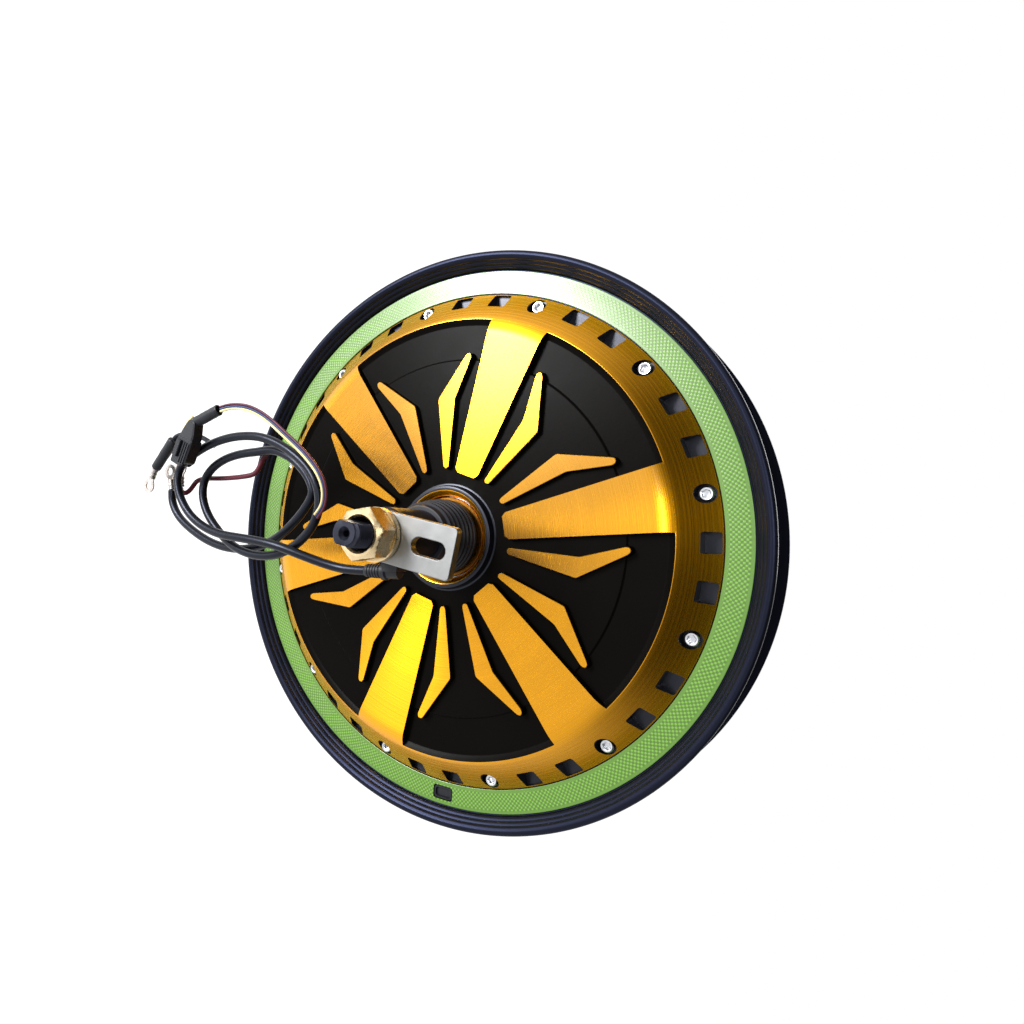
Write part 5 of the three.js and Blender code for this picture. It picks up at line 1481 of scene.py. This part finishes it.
class HUBMOTOR_OT_hub_rings(bpy.types.Operator):
    """Adds the ribbed collar, the spacers, the bearing shields and the cable gland"""

    bl_idname = "hub_motor.hub_rings"
    bl_label = "Collar, spacers, shields and gland"

    def execute(self, context):
        rubber = shared("rubber", moulded_rubber)
        steel = shared("oxide", black_oxide, tuple(context.scene.hub_motor.axle.colour))
        amber = shared("amber", bearing_shield)

        foot, top = along_axle("cable_collar")
        profile = [(8.8, foot), (11.8, foot), (11.8, foot + 2.8), (16.4, foot + 3.2), (16.8, foot + 3.6)]
        for i in range(7):
            a, r = foot + 4.4 + 3 * i, 18.3 - 0.3 * max(i - 1, 0) - 0.25 * max(i - 3, 0)
            groove = min(16.6, r - 1.2)
            profile += [(groove, a), (r - 0.5, a + 0.25), (r - 0.1, a + 0.55), (r, a + 0.9), (r, a + 1.5),
                        (r - 0.15, a + 1.9), (r - 0.7, a + 2.2), (groove, a + 2.5)]
        profile += [(14.4, top - 1.8), (14.4, top - 0.8), (14.1, top - 0.2), (13.7, top), (8.8, top)]
        collar = mesh_object("ribbed_collar", turned(profile, HUB_STEPS), [rubber])
        finish_piece(collar, "stator", ["cable_collar"])

        foot, top = along_axle("front_spacer")
        profile = [(8.8, foot), (11.8, foot), (12.2, foot + 0.4), (12.2, top - 9.5), (12.0, top - 9.3),
                   (12.0, top - 8.7), (12.2, top - 8.5), (12.2, top - 0.8), (11.4, top), (8.8, top)]
        spacer = mesh_object("front_sleeve", turned(profile, HUB_STEPS), [steel])
        outlet = circle(2.2, 24, 0, GLAND_AT)
        outlet = lofted([(outlet, -20.0), (outlet, -8.0)]).mapped(lambda x, y, a: (x, a, y))
        reshape(spacer, outlet, "DIFFERENCE")
        finish_piece(spacer, "stator", ["front_spacer"])

        low, high = along_axle("rear_spacer")
        profile = [(8.8, low), (11.8, low), (12.2, low + 0.4), (12.2, -31.4), (11.8, -31.0)]
        profile += [(11.8, high), (8.8, high)]
        rear = mesh_object("rear_sleeve", turned(profile, HUB_STEPS), [steel])
        finish_piece(rear, "stator", ["rear_spacer"])

        for end, side in (("front", 1), ("rear", -1)):
            low, high = 28.3, 29.9
            profile = [(12.7, low), (12.7, high - 0.3), (13.0, high), (14.2, high), (14.6, high - 0.35),
                       (17.6, high - 0.35), (18.0, high), (19.3, high), (19.7, high - 0.4), (19.7, low)]
            shield = mesh_object(f"{end}_shield", turned(mirrored(profile, side), HUB_STEPS), [amber])
            finish_piece(shield, "wheel", [f"{end}_seal"])

        self.add_gland(rubber)
        return {"FINISHED"}

    @staticmethod
    def add_gland(rubber):
        """A saddle on the spacer and a ribbed neck that eases the cable out sideways."""
        # drawn along x from the neck's mouth towards the axle's middle
        profile = [(2.5, 0.0), (2.75, 0.0), (3.0, 0.3)]
        for k in range(5):
            at = 1.0 + 1.5 * k
            profile += [(3.1 + 0.05 * k, at), (3.1 + 0.05 * k, at + 0.8), (2.75 + 0.05 * k, at + 1.0),
                        (2.75 + 0.05 * k, at + 1.3)]
        profile += [(3.4, 8.8), (4.0, 9.2), (4.0, 11.4), (3.6, 11.8), (3.3, 12.2), (3.3, 18.0), (0.0, 18.0)]
        profile += [(0.0, 4.5), (2.5, 4.5)]
        start, end = (-15.0, -GLAND_DROP, GLAND_AT), (3.0, -GLAND_DROP, GLAND_AT)
        neck = placed(upright(turned(profile, SCREW_STEPS)), start, end)
        gland = mesh_object("strain_relief", neck, [rubber])
        saddle = rounded(rectangle(8, 8, 0, -12), 1.4)
        reshape(gland, lofted([(saddle, 71.6), (saddle, 80.4)]), "UNION")
        spacer = turned([(0, 60), (12.5, 60), (12.5, 90), (0, 90)], HUB_STEPS)
        reshape(gland, spacer, "DIFFERENCE")
        finish_piece(gland, "stator", ["cable_gland"], bevel=0.25)


class HUBMOTOR_OT_fasteners(bpy.types.Operator):
    """Adds the torque plate, the washers and the axle nuts"""

    bl_idname = "hub_motor.fasteners"
    bl_label = "Torque plate, washers and nuts"

    def execute(self, context):
        plate_values, axle_values = context.scene.hub_motor.plate, context.scene.hub_motor.axle
        zinc = shared("zinc", clear_zinc, tuple(plate_values.zinc))
        yellow = shared("yellow zinc", yellow_zinc, tuple(plate_values.yellow_zinc))
        thread_r, flat = axle_values.thread_radius / MM, axle_values.across_flats / MM / 2
        low, high = along_axle("torque_plate")
        half, reach = plate_values.width / MM / 2, plate_values.reach / MM
        steps = 6
        eased = rounded([(0, -half), (reach, -half), (reach, half), (0, half)], 2.2, steps)
        outline = eased[steps + 1 : 3 * (steps + 1)]  # the outer end keeps its two eased corners
        for x, y in [polar(half, -degrees) for degrees in range(0, 181, 10)]:
            outline.append((x * PLATE_BACK / half, y))
        plate = mesh_object("zinc_plate", lean(lofted([(outline, low), (outline, high)])), [zinc])
        hole = [(x, max(-flat - CLEAR, min(flat + CLEAR, y))) for x, y in circle(thread_r + CLEAR, 48)]
        cutters = lofted([(hole, low - 5), (hole, high + 5)])
        slot = oblong(25.3, 0, plate_values.slot_length / MM, plate_values.slot_width / MM)
        cutters.join(lofted([(slot, low - 5), (slot, high + 5)]))
        reshape(plate, lean(cutters), "DIFFERENCE")
        finish_piece(plate, "stator", ["torque_plate"], bevel=0.4)

        for end, side in (("front", 1), ("rear", -1)):
            spans = [along_axle(f"{end}_{node}") for node in ("washer", "nut")]
            (foot, top), (nut_foot, nut_top) = spans if side > 0 else [(-high, -low) for low, high in spans]
            bore = thread_r + CLEAR
            profile = [(bore, foot), (11.4, foot), (11.8, foot + 0.4), (11.8, top - 0.5), (11.3, top)]
            disc = turned(mirrored([*profile, (bore, top)], side), HUB_STEPS)
            washer = mesh_object(f"{end}_plain_washer", disc, [yellow])
            finish_piece(washer, "stator", [f"{end}_washer"])
            nut = self.nut_shape(axle_values.nut_flats / MM, nut_top - nut_foot, bore)
            nut = lean(nut, NUT_TURN if side > 0 else 0.0)
            nut = nut.mapped(lambda x, y, a, s=side, f=nut_foot: (x * s, y, s * (a + f)))
            piece = mesh_object(f"{end}_axle_nut", nut, [yellow])
            finish_piece(piece, "stator", [f"{end}_nut"], sharp=26)
        return {"FINISHED"}

    @staticmethod
    def nut_shape(flats, height, bore):
        """A hexagon nut with turned chamfers at both ends and a countersunk bore."""
        side = hexagon(flats)
        corner = flats / math.sqrt(3)

        def limited(limit):
            """The hexagon, held inside a turned chamfer's radius."""
            return lambda degrees: min(side(degrees), limit)

        profile = [(bore, 0.8), (bore + 0.8, 0.0), (flats / 2 - 0.3, 0.0)]
        steps, half = 5, flats / 2
        for k in range(steps + 1):
            profile.append((limited(half - 0.3 + (corner - half + 0.35) * k / steps), k / steps))
        for k in range(steps + 1):
            t = 1 - k / steps
            profile.append((limited(half - 1.3 + (corner - half + 1.35) * t), height - 1.9 * t))
        profile += [(half - 1.6, height), (bore + 0.9, height), (bore, height - 0.9)]
        return turned(profile, NUT_STEPS)


# ---------------------------------------------------------------------------
# Closed inside: the CAD pieces with their own finishes
# ---------------------------------------------------------------------------


BEARING_NODES = (
    "front_bearing_inner", "rear_bearing_inner", "front_bearing_outer", "rear_bearing_outer",
    "front_ball_cage", "rear_ball_cage",
)


class HUBMOTOR_OT_inside(bpy.types.Operator):
    """Gives the stator, rotor, bearings and sensor board their finishes"""

    bl_idname = "hub_motor.inside"
    bl_label = "Rotor, stator and bearings"

    def execute(self, context):
        finishes = (
            # aluminium, sand cast: pale grey and pebbly
            (("stator_carrier",), "sand cast aluminium", "8d9093", "b9bbbd", 0.5),
            # electrical steel, stamped and stacked: dull warm grey
            (("stator_core",), "stamped electrical steel", "57554f", "6f6c66", 0.5),
            # iron, machined: darker, with a soft shine
            (("rotor_ring",), "machined iron", "53565b", "7c8086", 0.45),
            # neodymium, sintered and nickel plated: bright and smooth
            (("magnet_ring",), "nickel plated magnet", "8b8f95", "b4b8bd", 0.3),
            # copper wire, drawn and enamelled: orange brown with a varnished shine
            (("front_winding", "rear_winding"), "enamelled copper wire", "8e431a", "c9743a", 0.35),
            # bearing steel, ground: near mirror, silver
            (BEARING_NODES, "ground bearing steel", "9c9fa4", "d2d4d8", 0.2),
        )
        for names, label, dark, light, roughness in finishes:
            material = inner_finish(label, dark, light, roughness)
            for name in names:
                self.assign(name, material)
        # the board's solder mask, printed: even deep green, a dielectric
        self.assign("hall_board", inner_finish("green solder mask, printed", "12482a", "1f6b3d", 0.4, 0.0))
        jacket = tuple(context.scene.hub_motor.cords.jacket)
        self.assign("internal_lead", shared("jacket", insulation, "black PVC, extruded", jacket, 0.3))
        return {"FINISHED"}

    @staticmethod
    def assign(name, material):
        """Gives a CAD piece its finish and leaves its shape alone."""
        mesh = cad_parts[name].data
        mesh.materials.clear()
        mesh.materials.append(material)


# ---------------------------------------------------------------------------
# Panel and registration
# ---------------------------------------------------------------------------

# the stage and the cords come first, then the pieces from the rim inwards
BUILD_ORDER = (
    HUBMOTOR_OT_stage,
    HUBMOTOR_OT_cords,
    HUBMOTOR_OT_rim,
    HUBMOTOR_OT_band,
    HUBMOTOR_OT_front_cover,
    HUBMOTOR_OT_rear_cover,
    HUBMOTOR_OT_screws,
    HUBMOTOR_OT_axle,
    HUBMOTOR_OT_hub_rings,
    HUBMOTOR_OT_fasteners,
    HUBMOTOR_OT_inside,
)


class HUBMOTOR_PT_panel(bpy.types.Panel):
    """Lists the pieces of the hub motor wheel"""

    bl_label = "Hub Motor Wheel"
    bl_idname = "HUBMOTOR_PT_panel"
    bl_space_type = "VIEW_3D"
    bl_region_type = "UI"
    bl_category = "Hub Motor"

    def draw(self, context):
        settings = context.scene.hub_motor
        for group in ("rim", "band", "cover", "axle", "plate", "cords", "stage"):
            box = self.layout.box()
            box.label(text=group.capitalize())
            values = getattr(settings, group)
            for key in values.__annotations__:
                box.prop(values, key)
        for operator in BUILD_ORDER:
            self.layout.operator(operator.bl_idname)


CLASSES = (
    HubMotorRimSettings,
    HubMotorBandSettings,
    HubMotorCoverSettings,
    HubMotorAxleSettings,
    HubMotorPlateSettings,
    HubMotorCordSettings,
    HubMotorStageSettings,
    HubMotorSettings,
    *BUILD_ORDER,
    HUBMOTOR_PT_panel,
)


def register():
    """Registers the settings, operators and panel."""
    for cls in CLASSES:
        bpy.utils.register_class(cls)
    bpy.types.Scene.hub_motor = PointerProperty(type=HubMotorSettings)


def unregister():
    """Takes them away again."""
    del bpy.types.Scene.hub_motor
    for cls in reversed(CLASSES):
        bpy.utils.unregister_class(cls)


def main():
    """Builds the whole scene."""
    register()
    for operator in BUILD_ORDER:
        group, name = operator.bl_idname.split(".")
        getattr(getattr(bpy.ops, group), name)()


if __name__ == "__main__":
    main()
